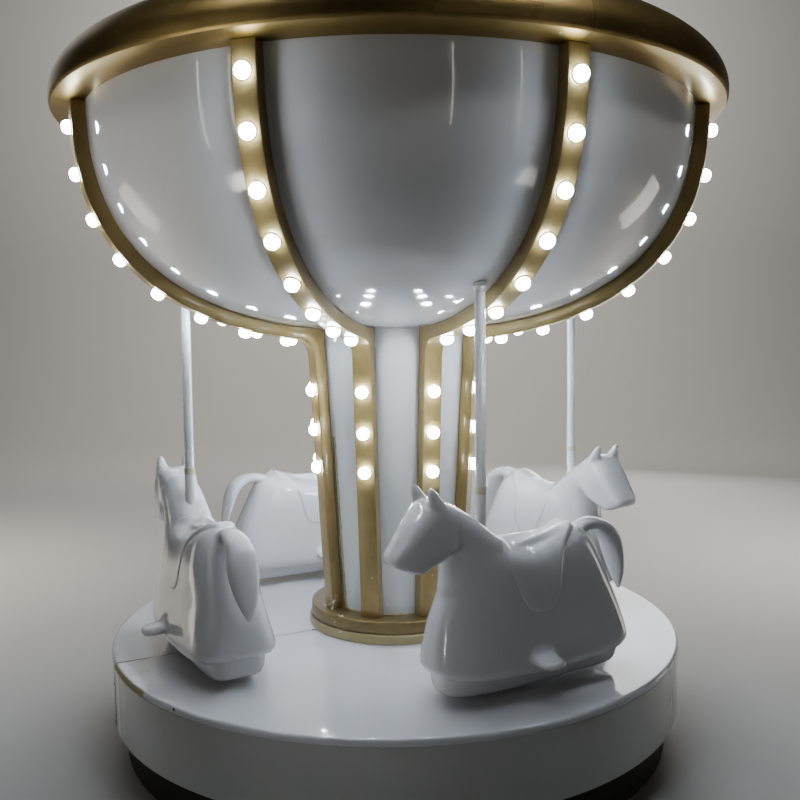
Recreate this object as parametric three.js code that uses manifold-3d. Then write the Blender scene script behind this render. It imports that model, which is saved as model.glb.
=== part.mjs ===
// A small fairground carousel for young children, in millimetres, +Z up, standing on the floor at z = 0.
// A black plinth stays still. On it turns one structure: a white drum and deck, a tapered column, a
// bowl-shaped canopy with gilt ribs full of lamps, a gilt rim, and four moulded horses on poles.
// A bearing angle is measured from the front (-Y) towards the right (+X), so a point at radius r and
// bearing a lies at (r sin a, -r cos a).
import * as THREE from "three";
import { mergeVertices } from "three/addons/utils/BufferGeometryUtils.js";
import Module from "manifold-3d";

const wasm = await Module();
wasm.setup();

const GAP = 0.3; // between pieces that touch
const degrees = THREE.MathUtils.degToRad;

// Plinth, bearing and drum
const PLINTH_RADIUS = 1100;
const PLINTH_HEIGHT = 155;
const PLINTH_CHAMFER = 8;
const BEARING_RADIUS = 300;
const HUB_RADIUS = 340;
const HUB_THICKNESS = 42;
const BEARING_RUNNING_GAP = 0.8;
const DECK_TOP = 410;
const DECK_THICKNESS = 25;
const DECK_RADIUS = 1151;
const DECK_HOLE_RADIUS = 100;
const DECK_EDGE_ROUND = 10;
const DECK_SEAM_BEARING = degrees(-64);
const SKIRT_RADIUS = 1148;
const SKIRT_THICKNESS = 12;
const SKIRT_BOTTOM = 150;
const SKIRT_SEAM_BEARING = degrees(-66);
const SKIRT_PIECES = 2;

// Foot mouldings and column
const FOOT_LOWER_RADIUS = 360;
const FOOT_LOWER_HEIGHT = 38;
const FOOT_UPPER_RADIUS = 352;
const FOOT_UPPER_HEIGHT = 50;
const FOOT_HOLE_RADIUS = 200;
const FOOT_TOP = DECK_TOP + FOOT_LOWER_HEIGHT + FOOT_UPPER_HEIGHT;
const COLUMN_BOTTOM_RADIUS = 254; // of the white face, at the foot
const COLUMN_TOP_RADIUS = 316; // of the white face, under the canopy
const SHELL_THICKNESS = 10;

// Canopy bowl: a superellipse turned about the axis
const BOWL_RADIUS = 1237; // of the ribs' outer faces
const BOWL_DEPTH = 901;
const BOWL_CENTRE_HEIGHT = 2474;
const BOWL_POWER = 2.69;
const RIB_COUNT = 8;
const RIB_BEARING = degrees(-19);
const RIB_DEPTH = 48;
const RIB_WIDTH = 78;
const PANEL_INNER_RADIUS = 300;
const PANEL_STEPS = 9;
const PANEL_SECTORS = 4;
const ELBOW_RADIUS = 80;
const ELBOW_STEPS = 3;
const ELBOW_BOTTOM = 1470;

// Rim and roof
const RIM_UNDERSIDE = 2427;
const RIM_INNER_RADIUS = 1090;
const RIM_TOP = 2646;
const RIM_PIECES = 4;
const ROOF_CROWN = 2668;
const ROOF_EDGE = 2628;
const ROOF_THICKNESS = 18;

// Lamps
const LAMP_RADIUS = 25;
const LAMP_STAND_OFF = 6; // from the rib's face to the lamp's centre
const CANOPY_LAMP_DISTANCES = [89, 250, 412, 573, 748, 925, 1101, 1270]; // along the rib's face from the rim
const COLUMN_LAMP_HEIGHTS = [1388, 1229, 1077];

// Horses and poles
const POLE_CIRCLE = 840;
// Each horse's pole bearing, and how far it points inward of the tangent there, as they were bolted down.
const HORSE_PLACES = [[20, 9], [107.7, 13.8], [200, 9.5], [289.7, 9.9]].map((pair) => pair.map(degrees));
const POLE_RADIUS = 17;
const SLEEVE_RADIUS = 19;
const SLEEVE_TOP = 1092;
const FLANGE_RADIUS = 27;
const FLANGE_HEIGHT = 14;
const FOOT_FLANGE_RADIUS = 30;
const FOOT_FLANGE_HEIGHT = 10;
const POLE_SIDES = 12;
const TRAY_FRONT = 20; // of the tray's underside, above the deck
const TRAY_REAR = 30;
const SIMPLIFY = 2.5; // how far a horse's surface may move when small facets are merged
const HEM_LOWEST = [-180, 78]; // forward of the pole and above the deck
const HEM_REAR = [-560, 104];
const HEM_FRONT = [200, 90];

const finish = (color, roughness, metalness) =>
  new THREE.MeshStandardMaterial({ color, roughness, metalness });
const gloss_white = finish(0xeeeef0, 0.15, 0);
const gilt = finish(0xa9843c, 0.35, 0.6);
const cream_gilt = finish(0xc9b98a, 0.4, 0.2);
const plinth_black = finish(0x15150f, 0.7, 0);
const steel = finish(0x8a8c90, 0.45, 0.8);

// Solids

// A closed mesh as a solid whose faces point out.
function solid(geometry) {
  const bare = new THREE.BufferGeometry();
  const flat = geometry.index ? geometry.toNonIndexed() : geometry;
  bare.setAttribute("position", flat.getAttribute("position"));
  const merged = mergeVertices(bare, 1e-3);
  const corners = merged.index.array;
  const kept = [];
  for (let i = 0; i < corners.length; i += 3) {
    const [a, b, c] = [corners[i], corners[i + 1], corners[i + 2]];
    if (a !== b && b !== c && c !== a) kept.push(a, b, c);
  }
  const made = (order) =>
    new wasm.Manifold(
      new wasm.Mesh({
        numProp: 3,
        vertProperties: merged.attributes.position.array,
        triVerts: new Uint32Array(order),
      }),
    );
  const first = made(kept);
  return first.volume() > 0 ? first : made(kept.reverse());
}

function geometryOf(manifold) {
  const mesh = manifold.getMesh();
  const geometry = new THREE.BufferGeometry();
  geometry.setAttribute("position", new THREE.BufferAttribute(mesh.vertProperties, 3));
  geometry.setIndex(new THREE.BufferAttribute(mesh.triVerts, 1));
  const faceted = geometry.toNonIndexed();
  faceted.computeVertexNormals();
  return faceted;
}

// A profile of [radius, height] points, in order round its outline, as a shape.
const shapeOf = (profile) => new THREE.Shape(profile.map(([r, z]) => new THREE.Vector2(r, z)));

// A profile, counterclockwise in radius and height, turned about +Z from one bearing to another.
function turned(profile, from, to, steps) {
  const outline = profile.map(([r, z]) => new THREE.Vector2(r, z));
  const loop = [...outline, outline[0]];
  const geometry = new THREE.LatheGeometry(loop, steps, from, to - from);
  if (to - from < 2 * Math.PI - 1e-6) {
    const corners = [...geometry.index.array];
    const last = steps * loop.length;
    for (const [a, b, c] of THREE.ShapeUtils.triangulateShape(outline, []))
      corners.push(a, b, c, last + c, last + b, last + a);
    geometry.setIndex(corners);
  }
  return solid(geometry.rotateX(Math.PI / 2));
}

const ring = (profile, steps) => turned(profile, 0, 2 * Math.PI, steps);

// A profile in the plane of one bearing, given a width across it.
function barAtBearing(profile, width, bearing) {
  const settings = { depth: width, bevelEnabled: false, steps: 1 };
  const geometry = new THREE.ExtrudeGeometry(shapeOf(profile), settings);
  geometry.translate(0, 0, -width / 2);
  geometry.rotateX(Math.PI / 2);
  return solid(geometry.rotateZ(bearing - Math.PI / 2));
}

// Closed sections of equal point counts, joined one to the next and closed at both ends.
function loft(sections) {
  const corners = [];
  const count = sections[0].length;
  const add = (...points) => points.forEach((p) => corners.push(p.x, p.y, p.z));
  for (let s = 0; s + 1 < sections.length; s++) {
    const here = sections[s];
    const next = sections[s + 1];
    for (let i = 0; i < count; i++) {
      const j = (i + 1) % count;
      add(here[i], here[j], next[j], here[i], next[j], next[i]);
    }
  }
  const close = (section, outward) => {
    for (let i = 1; 2 * i <= count; i++) {
      const [a, b, c, d] = [i - 1, i, count - i, (count - i + 1) % count].map((k) => section[k]);
      const lower = outward ? [a, b, c] : [a, c, b];
      const upper = outward ? [a, c, d] : [a, d, c];
      add(...lower, ...upper);
    }
  };
  close(sections[0], false);
  close(sections[sections.length - 1], true);
  const geometry = new THREE.BufferGeometry();
  geometry.setAttribute("position", new THREE.Float32BufferAttribute(corners, 3));
  return solid(geometry);
}

function cylinder(radius, height, sides) {
  const upright = new THREE.CylinderGeometry(radius, radius, height, sides).rotateX(Math.PI / 2);
  return solid(upright).translate([0, 0, height / 2]);
}

// Canopy profile

// A point of the bowl, at a parameter from 0 at the rim to 90 degrees on the axis, pulled in by an inset.
function bowlPoint(parameter, inset) {
  const r = (BOWL_RADIUS - inset) * Math.cos(parameter) ** (2 / BOWL_POWER);
  const z = BOWL_CENTRE_HEIGHT - (BOWL_DEPTH - inset) * Math.sin(parameter) ** (2 / BOWL_POWER);
  return [r, z];
}

const parameterAt = (radius, inset) => Math.acos((radius / (BOWL_RADIUS - inset)) ** (BOWL_POWER / 2));
const BOWL_TOP_PARAMETER = Math.asin(((BOWL_CENTRE_HEIGHT - RIM_UNDERSIDE) / BOWL_DEPTH) ** (BOWL_POWER / 2));

// The parameter at a distance along the ribs' faces, from the rim down.
function parameterAlong(distance) {
  const step = degrees(0.05);
  let parameter = BOWL_TOP_PARAMETER;
  let walked = 0;
  while (walked < distance) {
    const [r1, z1] = bowlPoint(parameter, 0);
    const [r2, z2] = bowlPoint(parameter + step, 0);
    walked += Math.hypot(r2 - r1, z2 - z1);
    parameter += step;
  }
  return parameter;
}

// The bowl's curve from the rim inwards, cut off at a radius. Every piece shares its parameters, so the
// facets of neighbours lie side by side.
function bowlCurve(inset, innerRadius) {
  const last = parameterAt(PANEL_INNER_RADIUS, PANEL_INSET);
  const curve = [];
  for (let i = 0; i <= PANEL_STEPS; i++) {
    const point = bowlPoint(BOWL_TOP_PARAMETER + ((last - BOWL_TOP_PARAMETER) * i) / PANEL_STEPS, inset);
    if (point[0] <= innerRadius + 1) {
      const before = curve[curve.length - 1];
      const share = (before[0] - innerRadius) / (before[0] - point[0]);
      curve.push([innerRadius, before[1] + (point[1] - before[1]) * share]);
      break;
    }
    curve.push(point);
  }
  return curve;
}

const PANEL_INSET = RIB_DEPTH + 0.5;
const RIM_SEAT = RIM_UNDERSIDE - GAP; // the highest that panels and ribs reach

function panelProfile() {
  const outer = bowlCurve(PANEL_INSET, 0);
  const inner = bowlCurve(PANEL_INSET + SHELL_THICKNESS, 0);
  outer[0][1] = RIM_SEAT;
  inner[0][1] = RIM_SEAT;
  return [...outer.reverse(), ...inner];
}

// Height of the panels' outer face at a radius.
const panelHeight = (radius) => bowlPoint(parameterAt(radius, PANEL_INSET), PANEL_INSET)[1];

const COLUMN_TOP = panelHeight(COLUMN_TOP_RADIUS - SHELL_THICKNESS) - 2 * GAP;

// Radius of the column's white face at a height.
function columnRadius(height) {
  const share = (height - FOOT_TOP) / (COLUMN_TOP - FOOT_TOP);
  return COLUMN_BOTTOM_RADIUS + (COLUMN_TOP_RADIUS - COLUMN_BOTTOM_RADIUS) * share;
}

const ribFaceRadius = (height) => columnRadius(height) + RIB_DEPTH;

// The rib's outer face: down the bowl, round the elbow and on to the column.
function ribFace() {
  const start = ribFaceRadius(ELBOW_BOTTOM + ELBOW_RADIUS) + ELBOW_RADIUS;
  const face = bowlCurve(0, start);
  face[0][1] = RIM_SEAT;
  const [r, z] = face[face.length - 1];
  const corner = [ribFaceRadius(z), z];
  const foot = [ribFaceRadius(ELBOW_BOTTOM), ELBOW_BOTTOM];
  const bend = new THREE.QuadraticBezierCurve(
    new THREE.Vector2(r, z),
    new THREE.Vector2(...corner),
    new THREE.Vector2(ribFaceRadius(z - ELBOW_RADIUS), z - ELBOW_RADIUS),
  );
  const round = bend.getPoints(ELBOW_STEPS).slice(1).map((p) => [p.x, p.y]);
  return [...face, ...round, foot];
}

// Lamps

function lampAt(radius, height, normalAngle, bearing) {
  const ball = solid(new THREE.SphereGeometry(LAMP_RADIUS, 6, 3).rotateZ(normalAngle - Math.PI / 2));
  const r = radius + LAMP_STAND_OFF * Math.cos(normalAngle);
  const z = height + LAMP_STAND_OFF * Math.sin(normalAngle);
  const upright = ball.rotate([90, 0, 0]).translate([r, 0, z]);
  return upright.rotate([0, 0, THREE.MathUtils.radToDeg(bearing) - 90]);
}

function canopyLamps(bearing) {
  return CANOPY_LAMP_DISTANCES.map((distance) => {
    const parameter = parameterAlong(distance);
    const [r1, z1] = bowlPoint(parameter - 0.01, 0);
    const [r2, z2] = bowlPoint(parameter + 0.01, 0);
    const [r, z] = bowlPoint(parameter, 0);
    const normalAngle = Math.atan2(r2 - r1, z1 - z2);
    return lampAt(r, z, normalAngle, bearing);
  });
}

const columnLamps = (bearing) =>
  COLUMN_LAMP_HEIGHTS.map((height) => lampAt(ribFaceRadius(height), height, 0, bearing));

const joined = (parts) => parts.reduce((whole, part) => whole.add(part));

function canopyRib(bearing) {
  const face = ribFace();
  const back = bowlCurve(PANEL_INSET - GAP, COLUMN_TOP_RADIUS + GAP);
  back[0][1] = RIM_SEAT;
  back.push([columnRadius(ELBOW_BOTTOM) + GAP, ELBOW_BOTTOM]);
  const bar = barAtBearing([...back, ...face.reverse()], RIB_WIDTH, bearing);
  return joined([bar, ...canopyLamps(bearing)]);
}

function columnRib(bearing) {
  const top = ELBOW_BOTTOM - GAP;
  const bottom = FOOT_TOP + GAP;
  const profile = [
    [columnRadius(bottom) + GAP, bottom],
    [ribFaceRadius(bottom), bottom],
    [ribFaceRadius(top), top],
    [columnRadius(top) + GAP, top],
  ];
  return joined([barAtBearing(profile, RIB_WIDTH, bearing), ...columnLamps(bearing)]);
}

// Horse

// A closed section: a superellipse in the plane of two directions round a centre. It may be squarer at its
// rear than at its front.
function superellipse(centre, along, across, halfLength, halfWidth, frontPower, rearPower, count) {
  const points = [];
  for (let i = 0; i < count; i++) {
    const angle = (2 * Math.PI * i) / count;
    const c = Math.cos(angle);
    const s = Math.sin(angle);
    const power = c > 0 ? frontPower : rearPower;
    const a = Math.sign(c) * Math.abs(c) ** (2 / power) * halfLength;
    const b = Math.sign(s) * Math.abs(s) ** (2 / power) * halfWidth;
    points.push(centre.clone().addScaledVector(along, a).addScaledVector(across, b));
  }
  return points;
}

const FORWARD = new THREE.Vector3(1, 0, 0);
const SIDEWAYS = new THREE.Vector3(0, 1, 0);

// Height of the horse's back along its length, forward of the pole.
const BACK = [
  [-620, 440],
  [-500, 480],
  [-420, 514],
  [-350, 530],
  [-270, 514],
  [-170, 494],
  [-90, 492],
  [0, 515],
  [120, 515],
  [260, 470],
];
const BACK_LINE = new THREE.CatmullRomCurve3(BACK.map(([u, z]) => new THREE.Vector3(u, 0, z)));
const BACK_POINTS = BACK_LINE.getPoints(80);

function backHeight(u) {
  const after = BACK_POINTS.findIndex((p) => p.x >= u);
  if (after <= 0) return BACK_POINTS[after === 0 ? 0 : BACK_POINTS.length - 1].z;
  const [p, q] = [BACK_POINTS[after - 1], BACK_POINTS[after]];
  return p.z + ((q.z - p.z) * (u - p.x)) / (q.x - p.x);
}

// Height of the hem, which rises from its lowest point to the rear and to the front.
function hemHeight(u) {
  const [end, endHeight] = u < HEM_LOWEST[0] ? HEM_REAR : HEM_FRONT;
  const share = Math.min((u - HEM_LOWEST[0]) / (end - HEM_LOWEST[0]), 1);
  return HEM_LOWEST[1] + (endHeight - HEM_LOWEST[1]) * share ** 2;
}

// A level section of the horse, squarer at its rear.
function levelSection(rear, front, halfWidth, frontPower, rearPower) {
  const centre = new THREE.Vector3((rear + front) / 2, 0, 0);
  const halfLength = (front - rear) / 2;
  return superellipse(centre, FORWARD, SIDEWAYS, halfLength, halfWidth, frontPower, rearPower, BODY_SIDES);
}

// The draped body, from the hem up: [share of the height, rear end, front end, half width, power at the
// front, power at the rear].
const BODY_LEVELS = [
  [0, -545, 190, 147, 2.8, 5],
  [0.05, -562, 208, 155, 2.9, 5],
  [0.12, -564, 210, 154, 3, 5],
  [0.4, -545, 188, 131, 3, 4],
  [0.7, -496, 140, 118, 2.9, 3.2],
  [0.88, -458, 136, 103, 2.9, 2.9],
  [0.96, -430, 106, 80, 2.7, 2.7],
  [1, -385, 60, 46, 2.5, 2.5],
];
const BODY_SIDES = 20;

function horseTrunk() {
  return loft(
    BODY_LEVELS.map(([share, ...outline]) => {
      const section = levelSection(...outline);
      section.forEach((p) => (p.z = hemHeight(p.x) + share * (backHeight(p.x) - hemHeight(p.x))));
      return section;
    }),
  );
}

// Sections along a spine: [forward, height, tilt, half depth, half width, sideways]. The tilt turns the
// section's depth direction up from straight ahead. Only the tail's tip lies out of the middle plane.
function spineLoft(stations, power, count) {
  return loft(
    stations.map(([u, z, tilt, halfDepth, halfWidth, sideways = 0]) => {
      const centre = new THREE.Vector3(u, sideways, z);
      const depth = new THREE.Vector3(Math.cos(degrees(tilt)), 0, Math.sin(degrees(tilt)));
      return superellipse(centre, depth, SIDEWAYS, halfDepth, halfWidth, power, power, count);
    }),
  );
}

const NECK = [
  [25, 380, -6, 132, 98],
  [28, 425, -11, 127, 94],
  [38, 478, -14, 116, 88],
  [58, 509, -17, 97, 84],
  [81, 536, -27, 80, 81],
  [122, 562, -53, 72, 78],
  [152, 578, -65, 76, 74],
];
const HEAD = [
  [115, 585, -103, 62, 66],
  [155, 584, -104, 86, 79],
  [190, 571, -109, 98, 83],
  [222, 544, -117, 87, 79],
  [257, 510, -131, 73, 71],
  [286, 483, -142, 65, 64],
  [304, 468, -148, 60, 60],
  [311, 461, -154, 45, 52],
];
const TAIL = [
  [-352, 456, -134, 26, 34],
  [-400, 496, -125, 26, 34],
  [-447, 512, -107, 25, 36],
  [-492, 510, -83, 26, 42],
  [-538, 486, -51, 28, 50],
  [-568, 445, -22, 26, 56],
  [-587, 385, -9, 20, 53, -1],
  [-604, 318, -7, 13, 38, -3],
  [-618, 250, -8, 4, 8, -5],
];
const EAR_SIDE = 52; // from the middle plane to each ear
const EAR = [
  [190, 630, 0, 34, 30],
  [203, 662, 0, 27, 26],
  [217, 692, 0, 18, 18],
  [227, 714, 0, 7, 8],
];
const PEG_PLACE = [-142, 125]; // forward, height
const PEG_LENGTH = 104;
const PEG_REACH = 237;
const PEG_THICKNESS = 30;

function ears() {
  const one = spineLoft(EAR, 2, 8);
  return [-EAR_SIDE, EAR_SIDE].map((side) => one.translate([0, side, 0]));
}

function pegs() {
  const half = PEG_LENGTH / 2;
  const outline = new THREE.Shape();
  outline.moveTo(-half, 0);
  outline.lineTo(half, 0);
  outline.lineTo(half, PEG_REACH - 40);
  outline.quadraticCurveTo(half, PEG_REACH, 0, PEG_REACH);
  outline.quadraticCurveTo(-half, PEG_REACH, -half, PEG_REACH - 40);
  const settings = { depth: PEG_THICKNESS, bevelEnabled: false, curveSegments: 3 };
  const plate = new THREE.ExtrudeGeometry(outline, settings);
  const [u, z] = PEG_PLACE;
  const outer = solid(plate).translate([u, 0, z - PEG_THICKNESS / 2]);
  return [outer, outer.mirror([0, 1, 0])];
}

const poleHole = () => cylinder(SLEEVE_RADIUS + GAP, 1200, POLE_SIDES);

function horseBody() {
  const shape = joined([
    horseTrunk(),
    spineLoft(NECK, 2.6, 16),
    spineLoft(HEAD, 2.8, 16),
    spineLoft(TAIL, 2.2, 8),
    ...ears(),
    ...pegs(),
  ]);
  return shape.asOriginal().simplify(SIMPLIFY).subtract(poleHole());
}

// The tray that shows below the hem, narrower than the body above it, with an underside that rises to the
// rear. Its levels read as the body's. It is cut off at the body's underside.
const TRAY_LEVELS = [
  [0, -520, 155, 90, 3.2, 6],
  [0.28, -533, 172, 107, 3.2, 6],
  [1, -538, 180, 114, 3.2, 6],
];
const TRAY_OVERREACH = 6;

function trayBottom(u) {
  const [, rear, front] = TRAY_LEVELS[0];
  return TRAY_FRONT + ((TRAY_REAR - TRAY_FRONT) * (front - u)) / (front - rear);
}

function horseTray(bodyAbove) {
  const shape = loft(
    TRAY_LEVELS.map(([share, ...outline]) => {
      const section = levelSection(...outline);
      section.forEach((p) => {
        const top = hemHeight(p.x) + TRAY_OVERREACH;
        p.z = trayBottom(p.x) + share * (top - trayBottom(p.x));
      });
      return section;
    }),
  );
  return shape.subtract(bodyAbove.translate([0, 0, -2 * GAP])).subtract(poleHole());
}

// The space above the panels' outer face, with a small gap, to cut the pole's top to the bowl's slope.
function bowlCutter() {
  const curve = bowlCurve(PANEL_INSET - 2 * GAP, 0).reverse();
  const profile = [...curve, [BOWL_RADIUS - RIB_DEPTH, RIM_TOP], [PANEL_INNER_RADIUS, RIM_TOP]];
  return ring(profile, RIB_COUNT * PANEL_SECTORS).rotate([0, 0, THREE.MathUtils.radToDeg(RIB_BEARING)]);
}

const horseHeading = (bearing, turn) => Math.PI + bearing + turn;

function pole(bearing, turn, cutter) {
  const top = panelHeight(POLE_CIRCLE) + 40;
  const flangeBottom = panelHeight(POLE_CIRCLE - FLANGE_RADIUS) - FLANGE_HEIGHT;
  const bottom = DECK_TOP + GAP;
  const upright = joined([
    cylinder(FOOT_FLANGE_RADIUS, FOOT_FLANGE_HEIGHT, POLE_SIDES).translate([0, 0, bottom]),
    cylinder(SLEEVE_RADIUS, SLEEVE_TOP - bottom, POLE_SIDES).translate([0, 0, bottom]),
    cylinder(POLE_RADIUS, top - bottom, POLE_SIDES).translate([0, 0, bottom]),
    cylinder(FLANGE_RADIUS, top - flangeBottom, POLE_SIDES).translate([0, 0, flangeBottom]),
  ]);
  const heading = THREE.MathUtils.radToDeg(horseHeading(bearing, turn));
  const spot = [POLE_CIRCLE * Math.sin(bearing), -POLE_CIRCLE * Math.cos(bearing), 0];
  return upright.rotate([0, 0, heading]).translate(spot).subtract(cutter);
}

// Drum, column, rim and roof

function plinth() {
  const profile = [
    [0, 0],
    [PLINTH_RADIUS, 0],
    [PLINTH_RADIUS, PLINTH_HEIGHT - PLINTH_CHAMFER],
    [PLINTH_RADIUS - PLINTH_CHAMFER, PLINTH_HEIGHT],
    [0, PLINTH_HEIGHT],
  ];
  return ring(profile, 48);
}

const HUB_TOP = DECK_TOP - DECK_THICKNESS - GAP;

function slewingBearing() {
  const top = HUB_TOP - HUB_THICKNESS - BEARING_RUNNING_GAP;
  const bottom = PLINTH_HEIGHT + GAP;
  return cylinder(BEARING_RADIUS, top - bottom, 32).translate([0, 0, bottom]);
}

const turntableHub = () => cylinder(HUB_RADIUS, HUB_THICKNESS, 32).translate([0, 0, HUB_TOP - HUB_THICKNESS]);

function deckHalf(side) {
  const bottom = DECK_TOP - DECK_THICKNESS;
  const edge = DECK_EDGE_ROUND;
  const profile = [
    [DECK_HOLE_RADIUS, bottom],
    [DECK_RADIUS - 0.4 * edge, bottom],
    [DECK_RADIUS, bottom + 0.6 * edge],
    [DECK_RADIUS, DECK_TOP - 0.6 * edge],
    [DECK_RADIUS - 0.3 * edge, DECK_TOP - 0.2 * edge],
    [DECK_RADIUS - edge, DECK_TOP],
    [DECK_HOLE_RADIUS, DECK_TOP],
  ];
  const half = (GAP / 2) / DECK_HOLE_RADIUS;
  const from = DECK_SEAM_BEARING + side * Math.PI;
  return turned(profile, from + half, from + Math.PI - half, 24);
}

function skirtPiece(index) {
  const profile = [
    [SKIRT_RADIUS - SKIRT_THICKNESS, SKIRT_BOTTOM],
    [SKIRT_RADIUS, SKIRT_BOTTOM],
    [SKIRT_RADIUS, DECK_TOP - DECK_THICKNESS - GAP],
    [SKIRT_RADIUS - SKIRT_THICKNESS, DECK_TOP - DECK_THICKNESS - GAP],
  ];
  const span = (2 * Math.PI) / SKIRT_PIECES;
  const from = SKIRT_SEAM_BEARING + index * span;
  const half = (GAP / 2) / SKIRT_RADIUS;
  return turned(profile, from + half, from + span - half, 24);
}

const footRing = (radius, bottom, height, round) =>
  ring(
    [
      [FOOT_HOLE_RADIUS, bottom],
      [radius, bottom],
      [radius, bottom + height - round],
      [radius - round, bottom + height],
      [FOOT_HOLE_RADIUS, bottom + height],
    ],
    32,
  );

function column() {
  const bottom = FOOT_TOP + GAP;
  const profile = [
    [COLUMN_BOTTOM_RADIUS - SHELL_THICKNESS, bottom],
    [COLUMN_BOTTOM_RADIUS, bottom],
    [COLUMN_TOP_RADIUS, COLUMN_TOP],
    [COLUMN_TOP_RADIUS - SHELL_THICKNESS, COLUMN_TOP],
  ];
  return ring(profile, 32).rotate([0, 0, THREE.MathUtils.radToDeg(RIB_BEARING)]);
}

function canopyPanel(bearing) {
  const span = (2 * Math.PI) / RIB_COUNT;
  const half = (GAP / 2) / PANEL_INNER_RADIUS;
  return turned(panelProfile(), bearing + half, bearing + span - half, PANEL_SECTORS);
}

// The rim's outer face bulges out above a crease and rolls over to the roof.
const RIM_FACE = [
  [1288, 2436],
  [1304, 2472],
  [1298, 2516],
  [1276, 2556],
  [1233, 2594],
  [1168, 2625],
];

function rimPiece(index) {
  const seat = [[1168, RIM_UNDERSIDE], [1244, RIM_UNDERSIDE]];
  const profile = [...seat, ...RIM_FACE, [RIM_INNER_RADIUS, RIM_TOP], [RIM_INNER_RADIUS, 2560]];
  const span = (2 * Math.PI) / RIM_PIECES;
  const from = RIB_BEARING - Math.PI / 4 + index * span;
  const half = (GAP / 2) / RIM_INNER_RADIUS;
  return turned(profile, from + half, from + span - half, 12);
}

function roof() {
  const edge = RIM_INNER_RADIUS - 2 * GAP - RIM_INNER_RADIUS * (1 - Math.cos(Math.PI / 48));
  const rise = ROOF_CROWN - ROOF_EDGE;
  const shares = [1, 0.7, 0.4, 0];
  const top = shares.map((s) => [edge * s, ROOF_EDGE + rise * (1 - s * s)]);
  const under = shares.map((s) => [edge * s, ROOF_EDGE - ROOF_THICKNESS + rise * (1 - s * s)]).reverse();
  return ring([...under, ...top], 32);
}

// Assembly

const carousel = new THREE.Group();

function place(name, manifold, material, parent = carousel) {
  const mesh = new THREE.Mesh(geometryOf(manifold), material);
  mesh.name = name;
  parent.add(mesh);
}

place("plinth", plinth(), plinth_black);
place("slewing_bearing", slewingBearing(), steel);
place("turntable_hub", turntableHub(), steel);
place("deck_front_half", deckHalf(0), gloss_white);
place("deck_back_half", deckHalf(1), gloss_white);
for (let i = 0; i < SKIRT_PIECES; i++) place(`skirt_panel_${i + 1}`, skirtPiece(i), gloss_white);
place(
  "column_foot_lower",
  footRing(FOOT_LOWER_RADIUS, DECK_TOP + GAP, FOOT_LOWER_HEIGHT - GAP, 4),
  cream_gilt,
);
place(
  "column_foot_upper",
  footRing(FOOT_UPPER_RADIUS, DECK_TOP + FOOT_LOWER_HEIGHT + GAP, FOOT_UPPER_HEIGHT - GAP, 5),
  gilt,
);
place("column_shell", column(), gloss_white);
for (let i = 0; i < RIB_COUNT; i++) {
  const bearing = RIB_BEARING + (2 * Math.PI * i) / RIB_COUNT;
  place(`canopy_panel_${i + 1}`, canopyPanel(bearing), gloss_white);
  place(`canopy_rib_${i + 1}`, canopyRib(bearing), gilt);
  place(`column_rib_${i + 1}`, columnRib(bearing), gilt);
}
for (let i = 0; i < RIM_PIECES; i++) place(`rim_piece_${i + 1}`, rimPiece(i), gilt);
place("canopy_roof", roof(), gloss_white);

const body = horseBody();
const tray = horseTray(body);
const cutter = bowlCutter();
HORSE_PLACES.forEach(([bearing, turn], i) => {
  const mount = new THREE.Group();
  mount.position.set(POLE_CIRCLE * Math.sin(bearing), -POLE_CIRCLE * Math.cos(bearing), DECK_TOP);
  mount.rotation.z = horseHeading(bearing, turn);
  carousel.add(mount);
  place(`horse_${i + 1}_body`, body, gloss_white, mount);
  place(`horse_${i + 1}_tray`, tray, gloss_white, mount);
  place(`horse_${i + 1}_pole`, pole(bearing, turn, cutter), gloss_white);
});

export default carousel;
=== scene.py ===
# %% [markdown]
# # A small fairground carousel, dressed for its picture
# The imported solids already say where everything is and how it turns. They are made with few faces,
# so in this lesson each one that shows gets a finer piece in exactly the same place: glossy white
# glass-fibre mouldings, gilt ribs with lamps, and four horses.

# %% Load the frame
import math
import bmesh
import bpy
from mathutils import Matrix, Vector, noise


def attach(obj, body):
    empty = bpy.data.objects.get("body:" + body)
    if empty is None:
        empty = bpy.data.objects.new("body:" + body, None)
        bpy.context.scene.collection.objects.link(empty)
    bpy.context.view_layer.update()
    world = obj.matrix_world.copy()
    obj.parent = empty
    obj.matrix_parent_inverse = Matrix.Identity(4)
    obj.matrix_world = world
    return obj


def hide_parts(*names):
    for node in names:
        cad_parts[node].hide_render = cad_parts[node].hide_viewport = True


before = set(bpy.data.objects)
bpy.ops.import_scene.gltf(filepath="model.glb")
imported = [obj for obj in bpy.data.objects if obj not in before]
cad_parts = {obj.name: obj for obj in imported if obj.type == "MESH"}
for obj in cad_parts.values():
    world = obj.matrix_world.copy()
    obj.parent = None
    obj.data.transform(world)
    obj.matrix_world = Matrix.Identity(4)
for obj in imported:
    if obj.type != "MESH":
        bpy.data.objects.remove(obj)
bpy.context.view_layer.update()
TAU = 2 * math.pi

# %% [markdown]
# The camera stands at a grown-up's eye height, about two and a half metres in front of the deck's
# edge, tipped down a little. Its place and its focal length were solved from the circles of deck
# and canopy and from the four horses, so they are given as plain numbers. The image is square.

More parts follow.
